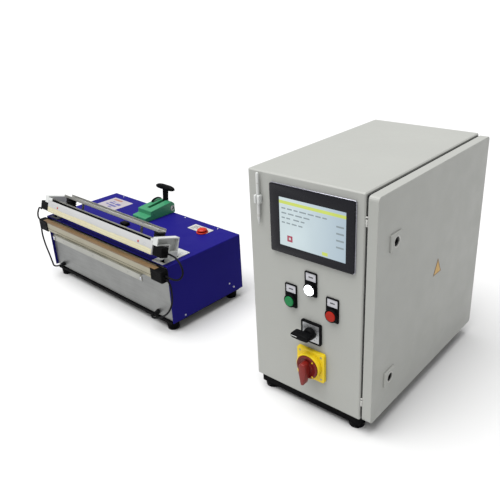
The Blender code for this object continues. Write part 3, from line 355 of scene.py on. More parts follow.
SCREEN_BAR = lit("screen_bar", (0.6, 0.7, 0.12), 0.95)
SCREEN_INK = lit("screen_ink", (0.27, 0.33, 0.35), 0.9)
SCREEN_RED = lit("screen_red", (0.4, 0.04, 0.08), 0.9)
SLOT_LOOKS = {
    "blue_paint": BLUE, "green_paint": GREEN, "grey_paint": GREY, "panel_steel": PANEL,
    "aluminium": ALUMINIUM, "steel": STEEL, "jaw_white": JAW_WHITE, "cream_fabric": CREAM,
    "brown_fabric": BROWN, "heating_band": BAND,
    "black_plastic": BLACK, "rubber": RUBBER, "red_plastic": RED, "green_plastic": GREEN_LENS,
    "white_plastic": WHITE, "yellow_plastic": YELLOW, "screen": SCREEN, "magnet_coil": COIL,
}

# ---------------------------------------------------------------- shapes, in millimetres


def soften(solid, radius, steps):
    """Round every edge of a solid."""
    if radius:
        bmesh.ops.bevel(
            solid, geom=solid.edges[:], offset=radius, segments=steps, profile=0.5, affect="EDGES",
            clamp_overlap=True,
        )


def block(low, high, radius=0.0, steps=3):
    """An upright box, its edges rounded."""
    low = Vector(low)
    high = Vector(high)
    solid = bmesh.new()
    size = Matrix.Diagonal((*(high - low), 1))
    bmesh.ops.create_cube(solid, size=1, matrix=Matrix.Translation((low + high) / 2) @ size)
    soften(solid, radius, steps)
    return solid


def lathe(start, axis, profile, segments=48):
    """A turned solid from its start along +axis: profile lists (radius, distance), far end first."""
    points = [(0, profile[0][1]), *profile, (0, profile[-1][1])]
    solid = bmesh.new()
    rim = [solid.verts.new((radius, 0, distance)) for radius, distance in points]
    edges = [solid.edges.new(pair) for pair in zip(rim, rim[1:])]
    bmesh.ops.spin(
        solid, geom=rim + edges, cent=(0, 0, 0), axis=(0, 0, 1), angle=math.tau,
        steps=segments, use_merge=True,
    )
    bmesh.ops.remove_doubles(solid, verts=solid.verts, dist=0.001)
    bmesh.ops.recalc_face_normals(solid, faces=solid.faces)
    bmesh.ops.transform(solid, matrix=Matrix.Translation(start) @ AXIS_TURNS[axis], verts=solid.verts)
    return solid


def ring(start, axis, inner, outer, thickness, edge=0.3, segments=64):
    """A flat ring from its start along +axis, with softened rims."""
    profile = [
        (inner, edge), (inner + edge, 0), (outer - edge, 0), (outer, edge), (outer, thickness - edge),
        (outer - edge, thickness), (inner + edge, thickness), (inner, thickness - edge),
    ]
    solid = bmesh.new()
    rows = []
    for step in range(segments):
        turn = Matrix.Rotation(math.tau * step / segments, 4, "Z")
        rows.append([solid.verts.new(turn @ Vector((radius, 0, height))) for radius, height in profile])
    for row, after in zip(rows, rows[1:] + rows[:1]):
        for index in range(len(profile)):
            other = (index + 1) % len(profile)
            solid.faces.new((row[index], after[index], after[other], row[other]))
    bmesh.ops.recalc_face_normals(solid, faces=solid.faces)
    bmesh.ops.transform(solid, matrix=Matrix.Translation(start) @ AXIS_TURNS[axis], verts=solid.verts)
    return solid


def prism(outline, plane, start, thickness, radius=0.0, steps=2):
    """A flat outline given a thickness: in plane YZ along +X from start, in XZ along +Y, in XY along +Z."""
    place = {
        "YZ": lambda a, b, t: (t, a, b), "XZ": lambda a, b, t: (a, t, b), "XY": lambda a, b, t: (a, b, t),
    }[plane]
    solid = bmesh.new()
    near = [solid.verts.new(place(a, b, start)) for a, b in outline]
    far = [solid.verts.new(place(a, b, start + thickness)) for a, b in outline]
    solid.faces.new(near)
    solid.faces.new(far[::-1])
    count = len(outline)
    for index in range(count):
        other = (index + 1) % count
        solid.faces.new((near[other], near[index], far[index], far[other]))
    bmesh.ops.recalc_face_normals(solid, faces=solid.faces)
    soften(solid, radius, steps)
    return solid


def rounded_outline(low, high, radius, steps=5):
    """A rectangle's corner points, rounded."""
    points = []
    corners = [(high[0], high[1], 0), (low[0], high[1], 90), (low[0], low[1], 180), (high[0], low[1], 270)]
    for across, along, first in corners:
        middle = (
            across - math.copysign(radius, across - (low[0] + high[0]) / 2),
            along - math.copysign(radius, along - (low[1] + high[1]) / 2),
        )
        for step in range(steps + 1):
            angle = math.radians(first + 90 * step / steps)
            points.append((middle[0] + radius * math.cos(angle), middle[1] + radius * math.sin(angle)))
    return points


def merged(*solids):
    """Several solids as one."""
    whole = solids[0]
    for other in solids[1:]:
        mesh = bpy.data.meshes.new("merge")
        other.to_mesh(mesh)
        other.free()
        whole.from_mesh(mesh)
        bpy.data.meshes.remove(mesh)
    return whole


def copies(make, places):
    """The same small solid at several places."""
    return merged(*[make(Vector(place)) for place in places])


def piece(name, unit, solid, material, replaces=(), body=None, sharp=32, cutters=()):
    """A solid in place as an object that rides on its body."""
    where, rides_on = HANG[unit]
    obj = raw_object(name, solid, where)
    for cutter in cutters:
        tool = raw_object(name + "_cutter", cutter, where)
        modifier = obj.modifiers.new("cut", "BOOLEAN")
        modifier.operation = "DIFFERENCE"
        modifier.solver = "EXACT"
        modifier.object = tool
        bpy.context.view_layer.update()
        graph = bpy.context.evaluated_depsgraph_get()
        obj.data = bpy.data.meshes.new_from_object(obj.evaluated_get(graph))
        obj.modifiers.clear()
        bpy.data.objects.remove(tool)
    obj.data.materials.clear()
    obj.data.materials.append(material)
    obj.data.shade_smooth()
    obj.data.set_sharp_from_angle(angle=math.radians(sharp))
    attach(obj, body or rides_on)
    if replaces:
        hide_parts(*([replaces] if isinstance(replaces, str) else replaces))
    return obj


def raw_object(name, solid, where):
    """A solid in millimetres as an object, placed where its unit stands."""
    bmesh.ops.transform(solid, matrix=where @ Matrix.Scale(MM, 4), verts=solid.verts)
    mesh = bpy.data.meshes.new(name)
    solid.to_mesh(mesh)
    solid.free()
    obj = bpy.data.objects.new(name, mesh)
    bpy.context.scene.collection.objects.link(obj)
    return obj


def spun(make, x, z, angles):
    """Small solids turned about the axis of a device at (x, z) on the front panel, one for each angle."""
    solids = []
    for angle in angles:
        solid = make()
        turn = Matrix.Translation((x, 0, z)) @ Matrix.Rotation(angle, 4, "Y")
        bmesh.ops.transform(solid, matrix=turn, verts=solid.verts)
        solids.append(solid)
    return merged(*solids)


def dome(place, axis, radius, height):
    """A domed screw head, standing on its place towards +axis or, with a minus sign, towards -axis."""
    sign = -1 if axis.startswith("-") else 1
    slopes = [math.radians(angle) for angle in (75, 55, 35, 15)]
    profile = [(radius * math.cos(angle), sign * (height * math.sin(angle))) for angle in slopes]
    profile.append((radius, 0))
    return lathe(place, axis.strip("-"), profile, 24)


# ---------------------------------------------------------------- leads


LEAD_ROUTES = {
    "left_jaw_lead": [
        (-4.6, -10, 229), (-11, -9, 230), (-22, -8, 228), (-31, -8, 219), (-36, -10, 206), (-34, -12, 195),
        (-24, -13, 188), (-14, -13, 187), (-6, -13, 187),
    ],
    "left_supply_lead": [
        (-6, -13, 174), (-13, -13, 173), (-24, -13, 161), (-27, -13, 132), (-20, -13, 100), (-4, -14, 70),
        (14, -18, 50), (28, -22, 42.5), (38, -20, 41.5), (44, -13, 42), (44, -6.6, 42),
    ],
    "right_jaw_lead": [
        (602.6, 8, 238), (618, 8, 238.5), (640, 6, 236), (661, 3, 224), (671, -1, 206), (664, -6, 190),
        (648, -10, 183), (630, -13, 184), (613, -13, 185),
    ],
    "right_supply_lead": [
        (613, -13, 174), (620, -13, 173.5), (630, -13, 160), (631, -13, 128), (622, -13, 96), (600, -14, 66),
        (572, -18, 47), (551, -22, 40.5), (540, -20, 41), (535, -13, 42), (535, -6.6, 42),
    ],
}
LEAD_DIAMETER = 5.0


def smooth_route(points, per_span=6):
    """A Catmull-Rom curve through the points."""
    points = [Vector(point) for point in points]
    ends = [2 * points[0] - points[1], *points, 2 * points[-1] - points[-2]]
    route = []
    for before, start, end, after in zip(ends, ends[1:], ends[2:], ends[3:]):
        for step in range(per_span):
            t = step / per_span
            bend = 2 * before - 5 * start + 4 * end - after
            twist = 3 * start - before - 3 * end + after
            route.append((2 * start + (end - before) * t + bend * t * t + twist * t ** 3) / 2)
    return [*route, points[-1]]


def tube(name, route, diameter, material, rides_on=None):
    """A round mesh tube along points in world metres."""
    curve = bpy.data.curves.new(name + "_line", "CURVE")
    curve.dimensions = "3D"
    curve.bevel_depth = diameter / 2
    curve.bevel_resolution = 4
    curve.use_fill_caps = True
    spline = curve.splines.new("POLY")
    spline.points.add(len(route) - 1)
    for knot, point in zip(spline.points, route):
        knot.co = (*point, 1)
    line = bpy.data.objects.new(name + "_line", curve)
    bpy.context.scene.collection.objects.link(line)
    graph = bpy.context.evaluated_depsgraph_get()
    mesh = bpy.data.meshes.new_from_object(line.evaluated_get(graph))
    bpy.data.objects.remove(line)
    solid = bmesh.new()
    solid.from_mesh(mesh)
    bmesh.ops.remove_doubles(solid, verts=solid.verts, dist=0.000001)
    solid.to_mesh(mesh)
    solid.free()
    mesh.materials.clear()
    mesh.materials.append(material)
    mesh.shade_smooth()
    mesh.set_sharp_from_angle(angle=math.radians(50))
    obj = bpy.data.objects.new(name, mesh)
    bpy.context.scene.collection.objects.link(obj)
    if rides_on:
        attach(obj, rides_on)
    return obj


def build_leads():
    """The four free leads; the supply leads ride on the unit, the jaw leads are not attached to any body."""
    for name, points in LEAD_ROUTES.items():
        route = [SEALER @ (point * MM) for point in smooth_route(points)]
        supply = name.endswith("supply_lead")
        obj = tube(name + "_sheath", route, LEAD_DIAMETER * MM, LEAD, "root" if supply else None)
        if not supply:
            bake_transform(obj)
        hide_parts(name)


# ---------------------------------------------------------------- CAD nodes shown as they are


def dress_nodes():
    """Give every CAD node its material, and the bigger ones softened edges."""
    slots = {entry["node"]: entry["material_slot"] for entry in frame["record"]["subparts"]}
    # The left slot plate's dark metal is painted shade; the right plate shows the part's own bracket paint
    own = {
        "arm_left": BRACKET, "arm_right": BRACKET, "slot_plate_left": SHADED_SLOT_PLATE, "slot_plate_right": BRACKET,
        "sealer_front_panel": PANEL, "cabinet_plinth": BLACK, "lower_jaw": JAW_METAL_TAPE_REFLECTION,
    }
    soft = {
        "sealer_cover": 0.5, "cabinet_body": 0.8, "cabinet_door": 1.0, "lever_housing": 0.7, "arm_left": 0.6,
        "arm_right": 0.6, "lower_jaw": 0.25, "upper_jaw": 0.3, "jaw_front_bar": 0.3, "arm_cross_bar": 0.5,
        "cabinet_plinth": 1.0, "sealer_base": 0.3, "slot_plate_left": 0.3, "slot_plate_right": 0.3,
        "lever_catch": 0.4, "transformer": 0.8, "holding_magnet": 0.6, "sealer_front_panel": 0.2,
    }
    for name, node in NODES.items():
        node.data.materials.clear()
        node.data.materials.append(own.get(name) or SLOT_LOOKS[slots[name]])
        if name in soft:
            weld = node.modifiers.new("weld", "WELD")
            weld.merge_threshold = 0.00002
            rounding = node.modifiers.new("round", "BEVEL")
            rounding.width = soft[name] * MM
            rounding.segments = 2
            rounding.limit_method = "ANGLE"
            rounding.angle_limit = math.radians(30)
            rounding.harden_normals = True


# ---------------------------------------------------------------- bench unit


SEALER_BUTTON = (510, 212)
LEVER_PIVOT = (282.5, 264.0, 220.0)
GLANDS = {"left": 44, "right": 535}
GLAND_HEIGHT = 42


def build_cover_details():
    """Screws, the blank sticker, the small block and the button plate on the blue cover."""
    top = copies(lambda place: dome(place, "Z", 2.8, 1.3), [(x, 260, 203.1) for x in (58, 217, 379, 526)])
    piece("cover_top_screws", "S", top, CHROME)
    side_places = [(216, 64), (233, 46), (44, 40)]
    right = copies(lambda place: dome(place, "X", 2.9, 1.4), [(607.1, y, z) for y, z in side_places])
    left = copies(lambda place: dome(place, "-X", 2.9, 1.4), [(-0.1, y, z) for y, z in side_places])
    piece("cover_side_screws", "S", merged(right, left), CHROME)

    sticker = prism(rounded_outline((40, 153), (140, 238), 3), "XY", 203.1, 0.25)
    piece("blank_sticker", "S", sticker, PRINT_BASE)
    blocks = [
        ((62, 196), (90, 203)), ((96, 194), (120, 206)), ((58, 184), (74, 190)), ((80, 180), (116, 189)),
        ((88, 170), (108, 175)), ((66, 208), (84, 212)),
    ]
    piece("sticker_blue_fields", "S", merged(*[
        prism(rounded_outline(low, high, 2), "XY", 203.36, 0.1) for low, high in blocks
    ]), STICKER_BLUE)
    field = prism(rounded_outline((52, 221), (96, 230), 3), "XY", 203.36, 0.1)
    piece("sticker_orange_field", "S", field, STICKER_ORANGE)

    piece("cover_block", "S", block((262, 98, 203.2), (289, 117, 213), 2.2), SATIN_BLACK,
          cutters=[block((267, 95, 207), (284, 120, 210.4), 0.8, 1)])
    for side, x in (("left", 25), ("right", 575)):
        screw = copies(lambda place: dome(place, "Z", 2.8, 1.2), [(x, 77, 205.4), (x + 8, 88, 205.4)])
        piece("slot_plate_screws_" + side, "S", screw, CHROME)

    # The red button on its plate
    plate = prism(rounded_outline((448, 208), (528, 242), 3), "XY", 203.3, 1.2)
    piece("button_plate_sheet", "S", plate, PAD_GREY, "button_plate",
          cutters=[lathe((*SEALER_BUTTON, 200), "Z", [(12.4, 10), (12.4, 0)])])
    piece("button_plate_marks", "S", merged(*[
        prism(rounded_outline((x, y), (x + w, y + 2.2), 0.8), "XY", 204.5, 0.12)
        for x, y, w in ((456, 232, 26), (456, 226, 20), (456, 220, 24), (456, 214, 14))
    ]), INK)
    collar = ring((*SEALER_BUTTON, 203.4), "Z", 12.4, 17.5, 3.5, 0.8)
    piece("button_plate_collar", "S", collar, RED)
    head = lathe((*SEALER_BUTTON, 191), "Z", [
        (0.5, 25.8), (6, 25.5), (10, 24.6), (13, 23.2), (14.7, 21.6), (15, 20.5), (14.7, 19.4), (13.5, 18.6),
        (10, 18.4), (10, 1),
    ])
    piece("sealer_button_head", "S", head, RED, "sealer_button", "sealer_button")


def build_caps():
    """Black end caps of both jaws, with their ribs and lead outlets."""
    for side, x0, x1, outer in (("left", -5.5, 42, -5.5), ("right", 565, 612.5, 612.5)):
        body = block((x0, -26, 165), (x1, -1.3, 199), 3, 4)
        outlets = [block((outer - 3.2, -19, z - 4.6), (outer + 3.2, -7, z + 4.6), 1) for z in (186.5, 174)]
        ribs = [block((x0 + 4, -32, z), (x1 - 4, -25.2, z + 2), 0.4, 1) for z in (171, 177, 183, 189)]
        piece("lower_cap_" + side, "S", body, SATIN_BLACK, "lower_end_cap_" + side,
              cutters=[*outlets, merged(*ribs)])
    for side, x0, x1, outer in (("left", -4, 41.7, -4), ("right", 565.3, 602, 602)):
        body = block((x0, -26, 201), (x1, -2, 228.7), 3, 4)
        outlet = block((outer - 2.5, -17, 205), (outer + 2.5, -4, 218), 1)
        ribs = [block((x0 + 4, -32, z), (x1 - 4, -25.2, z + 1.8), 0.4, 1) for z in (207, 213, 219)]
        piece("upper_cap_" + side, "A", body, SATIN_BLACK, "upper_end_cap_" + side,
              cutters=[outlet, merged(*ribs)])


def build_jaws():
    """Tape and cloth on the jaws, and the small things on the upper jaw and the front bar."""
    # Woven tape over the lower jaw's top, turned down over its front edge
    steps = [(-9.6, 199.9), (-9.6, 200.4), (-23.4, 200.4), (-24.3, 200.1), (-24.8, 199.3), (-24.8, 196.0)]
    outline = [*steps, (-24.3, 196.0), (-24.3, 198.6), (-23.6, 199.6), (-22.8, 199.9)]
    lip = prism(outline, "YZ", 42.6, 521.8)
    tails = [block((x, -24.5, 199.9), (x + 20.6, -9.6, 200.4), 0.1, 1) for x in (22, 564.4)]
    tape = piece("lower_tape", "S", merged(lip, *tails), BROWN, "lower_ptfe_strip")

    # Cloth round the upper jaw's foot, with a slightly uneven top edge
    cover = bmesh.new()
    rings = []
    count = 90
    start, length = 44, 519
    for step in range(count + 1):
        x = start + length * step / count
        edge = 217.3 + 0.7 * math.sin(x * 0.031) + 0.4 * math.sin(x * 0.13 + 1)
        outside = [
            (-28.9, edge), (-28.9, 203.2), (-28.3, 201.6), (-26.8, 200.95), (-6.2, 200.95),
            (-4.7, 201.6), (-4.1, 203.2), (-4.1, edge),
        ]
        inside = [
            (-4.7, edge), (-4.7, 203.4), (-5.2, 202.2), (-6.4, 201.6), (-26.6, 201.6),
            (-27.8, 202.2), (-28.3, 203.4), (-28.3, edge),
        ]
        rings.append([cover.verts.new((x, y, z)) for y, z in outside + inside])
    size = len(rings[0])
    for row, after in zip(rings, rings[1:]):
        for index in range(size):
            other = (index + 1) % size
            cover.faces.new((row[index], after[index], after[other], row[other]))
    for row in (rings[0], rings[-1]):
        for index in range(size // 2 - 1):
            cover.faces.new((row[index], row[index + 1], row[size - 2 - index], row[size - 1 - index]))
    bmesh.ops.recalc_face_normals(cover, faces=cover.faces)
    wrap = piece("upper_cloth", "A", cover, CREAM, "upper_ptfe_cover")
    piece("cloth_seam", "A", merged(
        block((44, -29.1, 215.2), (563, -28.85, 216.0), 0.1, 1),
        block((44, -29.05, 205.0), (563, -28.85, 205.5), 0.1, 1),
    ), CREAM)
    dot = [(1.5, -1.1), (2.9, -0.9), (3.1, -0.5), (2.6, -0.1)]
    piece("jaw_red_dots", "A", copies(
        lambda place: lathe(place, "Y", dot, 24), [(97.4, -28, 224), (505.2, -28, 224)]), RED)
    piece("jaw_small_screws", "A", copies(
        lambda place: dome(place, "-Y", 1.7, 0.7), [(531.7, -28, 224), (70, -28, 226)]), CHROME)
    dark = merged(
        block((43, -23.9, 232.02), (564, -17.1, 232.3), 0.05, 1),
        block((43, -17.25, 232.2), (564, -16.95, 239.8), 0.05, 1),
    )
    piece("jaw_channel_shadow_strip", "A", dark, BLACK)
    lip = block((43, -17.3, 239.8), (564, -13.7, 243.4), 0.5, 2)
    piece("jaw_channel_lip", "A", lip, ALUMINIUM)
    tabs = merged(
        block((42.4, -28, 237.3), (62, -24.5, 246.5), 0.6),
        block((555, -28, 237.3), (564.6, -24.5, 244), 0.6),
    )
    piece("jaw_end_tabs", "A", tabs, BRACKET)

    for side, x in (("left", 87), ("right", 528)):
        screw = dome(Vector((x, -32.5, 158.5)), "-Y", 4.0, 1.6)
        piece("bar_clamp_screw_" + side, "S", screw, CHROME)
    places = [(x, -31, 159.5) for x in (140, 300, 470)]
    piece("front_bar_screws", "S", copies(lambda place: dome(place, "-Y", 2.0, 0.8), places), STEEL)


BELLOWS_HEIGHT = 35.2
BELLOWS_FOLDS = 5


def build_rail():
    """The open channel above the jaw: punched floor, ribbed inside and rolled lips."""
    start, end = 70.0, 537.0
    section = [
        (9, 261.4), (9, 254.4), (10.4, 253), (35.6, 253), (37, 254.4), (37, 261.4), (36.4, 262),
        (35.4, 261.4),
        (35.2, 256.2), (34, 254.9), (28.6, 254.9), (28.2, 255.6), (27.4, 255.6), (27, 254.9), (19, 254.9),
        (18.6, 255.6), (17.8, 255.6), (17.4, 254.9), (12, 254.9), (10.8, 256.2), (10.6, 261.4), (9.6, 262),
    ]
    channel = prism(section, "YZ", start, end - start)
    slots = []
    for index in range(22):
        x = start + 12 + index * 20.6
        for low in (12.8, 29.8):
            slots.append(prism(rounded_outline((x, low), (x + 9, low + 3.4), 1.6, 3), "XY", 251, 6))
        slots.append(prism(rounded_outline((x + 4, 20.4), (x + 15, 25.6), 2.4, 3), "XY", 251, 6))
    piece("rail_channel", "A", channel, RAIL, "arm_rail", cutters=[merged(*slots)])
    for side, x in (("left", 155), ("right", 449)):
        nut = lathe((x, 24, 255.7), "Z", [
            (1.9, 5.2), (2.2, 4.9), (2.2, 3.0), (4.6, 2.8), (5.0, 2.4), (5.0, 0),
        ], 6)
        piece("rail_nut_" + side, "A", nut, CHROME, sharp=20)
    profile = []
    fold = BELLOWS_HEIGHT / BELLOWS_FOLDS
    for index in range(BELLOWS_FOLDS):
        height = BELLOWS_HEIGHT - index * fold
        profile += [(radius, height - share * fold) for radius, share in (
            (12.6, 0), (14.4, 0.07), (15.7, 0.22), (16, 0.42), (15.6, 0.65), (14.2, 0.82), (12.8, 0.92),
        )]
    profile += [(12.6, 0.1)]
    for side, x in (("left", 88), ("right", 527)):
        piece("bellows_" + side, "A", lathe((x, 24, 217.4), "Z", profile, 40), RUBBER,
              "rail_buffer_" + side, sharp=60)


def build_lever():
    """The T-handle, its stem and its cross pin."""
    x, y, z = LEVER_PIVOT
    pin = lathe((x - 30.5, y, z), "X", [(4.2, 61), (5, 60.2), (5, 0.8), (4.2, 0)], 40)
    hub = lathe((x - 6, y, z), "X", [(7.4, 12), (8, 11.4), (8, 0.6), (7.4, 0)], 40)
    stem = prism([
        (y - 6.5, z), (y + 7.5, z), (y + 8.4, z + 15), (y + 9.5, z + 30), (y + 13, z + 52), (y + 12, z + 56),
        (y - 2, z + 56), (y - 3, z + 52), (y - 5, z + 30), (y - 5.6, z + 15),
    ], "YZ", x - 6, 12, 1.6, 3)
    piece("lever_stem", "L", merged(hub, stem), SATIN_BLACK, sharp=50)
    piece("lever_pin", "L", pin, STEEL)
    grip = bmesh.new()
    rings = []
    length = 88.0
    stations = 28
    spokes = 20
    for step in range(stations + 1):
        t = -1 + 2 * step / stations
        swell = max(0.0, 1 - abs(t) ** 5) ** 0.5
        waist = 1 - 0.16 * math.exp(-(t / 0.34) ** 2)
        half_deep = (9.8 - 1.3 * t * t) * swell * waist + 0.01
        half_high = (8.3 - 1.2 * t * t) * swell + 0.01
        arch = 1.6 * (1 - t * t)
        row = []
        for spoke in range(spokes):
            angle = math.tau * spoke / spokes
            cos, sin = math.cos(angle), math.sin(angle)
            row.append(grip.verts.new((
                x + t * length / 2,
                y + 5 + half_deep * math.copysign(abs(cos) ** 0.8, cos),
                z + 60.2 + arch + half_high * math.copysign(abs(sin) ** 0.8, sin),
            )))
        rings.append(row)
    for row, after in zip(rings, rings[1:]):
        for index in range(spokes):
            other = (index + 1) % spokes
            grip.faces.new((row[index], after[index], after[other], row[other]))
    grip.faces.new(rings[0][::-1])
    grip.faces.new(rings[-1])
    bmesh.ops.recalc_face_normals(grip, faces=grip.faces)
    piece("lever_grip", "L", grip, SATIN_BLACK, "hand_lever", sharp=70)
    for side, start in (("left", 248.9), ("right", 315.1)):
        piece("pivot_washer_" + side, "S", ring((start, y, z), "X", 5.7, 8.6, 1.0), STEEL)
    for side, start, axis in (("left", 250.0, "-X"), ("right", 315.0, "X")):
        screw = dome(Vector((start, 190, 222)), axis, 2.4, 1.0)
        piece("housing_screw_" + side, "S", screw, GREEN)


def build_glands():
    """The rubber glands where the supply leads enter the front panel."""
    for side, x in GLANDS.items():
        nut = lathe((x, -5.8, GLAND_HEIGHT), "Y", [
            (5.8, 13.4), (5.8, 9.0), (5.6, 8.2), (5.2, 5.4), (4.6, 2.4), (3.8, 0.5), (2.9, 0.0),
        ], 36)
        flange = lathe((x, 3.4, GLAND_HEIGHT), "Y", [(6.7, 4.2), (7.0, 3.8), (7.0, 0.4), (6.7, 0)], 6)
        piece("gland_nut_" + side, "S", merged(nut, flange), RUBBER, "lead_gland_" + side, sharp=28)


# ---------------------------------------------------------------- cabinet


KNURLS = 24
BUTTON_PLACES = {"white": (157, 273), "green": (106, 231), "red": (209, 231)}
SELECTOR = (158, 172)
MAIN_SWITCH = (158.5, 95)
STYLUS = (30, -6)
LOCK_HEIGHTS = {"upper": 391, "lower": 84}
LOCK_DEPTH = 67


def build_hmi():
    """The touch panel: rim, bezel, housing and a generic display."""
    low, high = (60, 336), (260, 483)
    rim = prism(rounded_outline(low, high, 4), "XZ", -3.2, 2.9, 0.5, 1)
    face_outline = rounded_outline((61, 337.2), (258.6, 482.2), 3.6)
    face = prism(face_outline, "XZ", -6.9, 3.7, 0.6, 2)
    window = block((84, -12, 355), (241, -5.2, 458), 0.5, 1)
    opening = block((70, -8, 346), (250, 2, 473), 2, 2)
    housing = block((70, -0.2, 346), (250, 38, 473), 2.5, 2)
    piece("hmi_rim", "K", rim, BEZEL_RIM, cutters=[opening])
    piece("hmi_bezel", "K", face, BEZEL, "hmi_frame", cutters=[window])
    piece("hmi_housing", "K", housing, BLACK)
    display = prism(rounded_outline((84.4, 355.4), (240.6, 457.6), 0.6), "XZ", -5.9, 0.6)
    piece("screen_panel", "K", display, SCREEN, "hmi_screen")

    def field(x, z, width, height, front=-6.02):
        outline = [(x, z), (x + width, z), (x + width, z + height), (x, z + height)]
        return prism(outline, "XZ", front, 0.1)

    piece("screen_title_bar", "K", field(84.6, 444.5, 155.8, 6.5), SCREEN_BAR)
    rows = []
    lines = ((10, 12, 10, 16, 14, 12, 10), (12, 14, 16, 14), (8, 9, 0, 14, 9), (8, 9, 12, 10))
    for row, widths in enumerate(lines):
        across = 90
        for width in widths:
            if width:
                rows.append(field(across, 434 - row * 10, width, 2.8))
            across += width + 4
    rows += [field(219, 424 - index * 14, 17, 3.4) for index in range(4)]
    piece("screen_rows", "K", merged(*rows), SCREEN_INK)
    piece("screen_tile_red", "K", field(103, 366, 13, 13), SCREEN_RED)
    piece("screen_tile_mark", "K", field(107, 370, 5, 5, -6.1), WHITE)
    piece("screen_tile_yellow", "K", field(187, 358.5, 13, 7), SCREEN_BAR)


def build_button(colour, lens):
    """A legend holder with its insert, a collar and the lens that moves in it."""
    x, z = BUTTON_PLACES[colour]
    holder = prism(rounded_outline((x - 15, z - 16), (x + 15, z + 38), 3), "XZ", -3.2, 2.9, 0.7, 2)
    piece(colour + "_legend_holder", "K", holder, SATIN_BLACK,
          cutters=[prism(rounded_outline((x - 12.6, z + 17.6), (x + 12.6, z + 35.2), 1.2), "XZ", -6, 4.4),
                   lathe((x, -8, z), "Y", [(11.5, 16), (11.5, 0)])])
    insert = prism(rounded_outline((x - 12.4, z + 17.8), (x + 12.4, z + 35), 1), "XZ", -2.2, 0.7)
    piece(colour + "_legend_insert", "K", insert, STICKER)
    mark = block((x - 5.5, -2.32, z + 24.8), (x + 5.5, -2.15, z + 27.6), 0.05, 1)
    piece(colour + "_legend_mark", "K", mark, INK)
    collar = lathe((x, -9.3, z), "Y", [
        (14.6, 6.4), (14.9, 5.8), (14.9, 2.4), (14.4, 1.0), (13.4, 0.2), (12.4, 0),
    ], 64)
    bore = lathe((x, -12, z), "Y", [(11.5, 20), (11.5, 0)])
    knurl = spun(
        lambda: block((-0.5, -6.4, 14.3), (0.5, -3.6, 16), 0, 1), x, z,
        [math.tau * index / KNURLS for index in range(KNURLS)],
    )
    piece(colour + "_collar", "K", collar, SATIN_BLACK, cutters=[bore, knurl])
    front = lathe((x, -12.2, z), "Y", [
        (8, 23.8), (8, 7.4), (11.1, 7.4), (11.1, 2.0), (10.8, 1.3), (9.8, 0.9), (8.2, 0.8), (5, 1.0),
        (2, 1.1),
    ], 56)
    piece(colour + "_lens", "K", front, lens, colour + "_button", colour + "_button")


def build_contact_blocks():
    """The carrier behind the panel, with a barrel for each button."""
    places = BUTTON_PLACES.values()
    barrels = [lathe((x, -1, z), "Y", [(10.8, 38.6), (10.8, 0)], 32) for x, z in places]
    carrier = block((85, 38, 217), (230, 46, 287), 1.5, 2)
    wells = [lathe((x, -4, z), "Y", [(9.7, 22), (9.7, 0)], 32) for x, z in places]
    piece("button_contact_blocks", "K", merged(carrier, *barrels), BLACK,
          "button_station", cutters=wells)


def build_selector():
    """The square plate with its scale, and the turning wing."""
    x, z = SELECTOR
    body = prism(rounded_outline((x - 25, z - 25), (x + 25, z + 25), 3.5), "XZ", -5.8, 5.5, 0.9, 2)
    piece("selector_body", "K", body, SATIN_BLACK, "selector_plate",
          cutters=[block((x - 21, -9, z - 21), (x + 21, -5.2, z + 21), 0.8, 1),
                   lathe((x, -10, z), "Y", [(5.2, 40), (5.2, 0)])])
    inlay = prism(rounded_outline((x - 20.7, z - 20.7), (x + 20.7, z + 20.7), 1.5), "XZ", -5.6, 0.5)
    piece("selector_face", "K", inlay, INLAY,
          cutters=[lathe((x, -10, z), "Y", [(5.4, 40), (5.4, 0)])])
    ticks = spun(
        lambda: block((-0.4, -5.72, 15.8), (0.4, -5.55, 19.4), 0, 1), x, z,
        [math.radians(angle) for angle in range(0, 360, 30)],
    )
    piece("selector_ticks", "K", ticks, INK)
    skirt = lathe((x, -17, z), "Y", [
        (4.4, 28), (4.4, 10.8), (13.2, 10.8), (13.6, 10.2), (13.2, 3), (11.5, 0.6), (9, 0),
    ], 56)
    wing = prism([
        (x - 31, z - 3.6), (x - 26, z - 6.2), (x - 6, z - 7), (x + 10, z - 6), (x + 14, z - 2.5),
        (x + 14, z + 2.5), (x + 10, z + 6), (x - 6, z + 7), (x - 26, z + 6.2), (x - 31, z + 3.6),
    ], "XZ", -35.5, 20, 2.6, 3)
    piece("selector_wing", "K", merged(skirt, wing), SATIN_BLACK, "selector_knob",
          "selector", 45)
    pointer = block((x - 28, -35.9, z - 0.7), (x - 14, -35.3, z + 0.7), 0.2, 1)
    piece("selector_pointer", "K", pointer, WHITE, body="selector")


def build_main_switch():
    """The yellow plate and cup of the main switch."""
    x, z = MAIN_SWITCH
    plate = prism(rounded_outline((x - 35, z - 35), (x + 35, z + 35), 5), "XZ", -8.6, 8.3, 1.4, 3)
    piece("main_switch_base", "K", plate, YELLOW, "main_switch_plate",
          cutters=[lathe((x, -12, z), "Y", [(5.2, 40), (5.2, 0)])])
    for index, (dx, dz) in enumerate(((-27, -27), (27, -27), (-27, 27), (27, 27))):
        screw = dome(Vector((x + dx, -8.6, z + dz)), "-Y", 2.4, 0.8)
        piece(f"main_switch_screw_{index}", "K", screw, STEEL)
    collar = lathe((x, -20, z), "Y", [
        (29.3, 11.6), (29.5, 11.2), (29.5, 2.2), (28.8, 0.8), (27.6, 0.1), (26.9, 0.4),
    ], 80)
    piece("main_switch_ring", "K", collar, YELLOW,
          cutters=[lathe((x, -26, z), "Y", [(26.8, 12), (26.8, 0)], 80),
                   lathe((x, -22, z), "Y", [(5.2, 40), (5.2, 0)])])


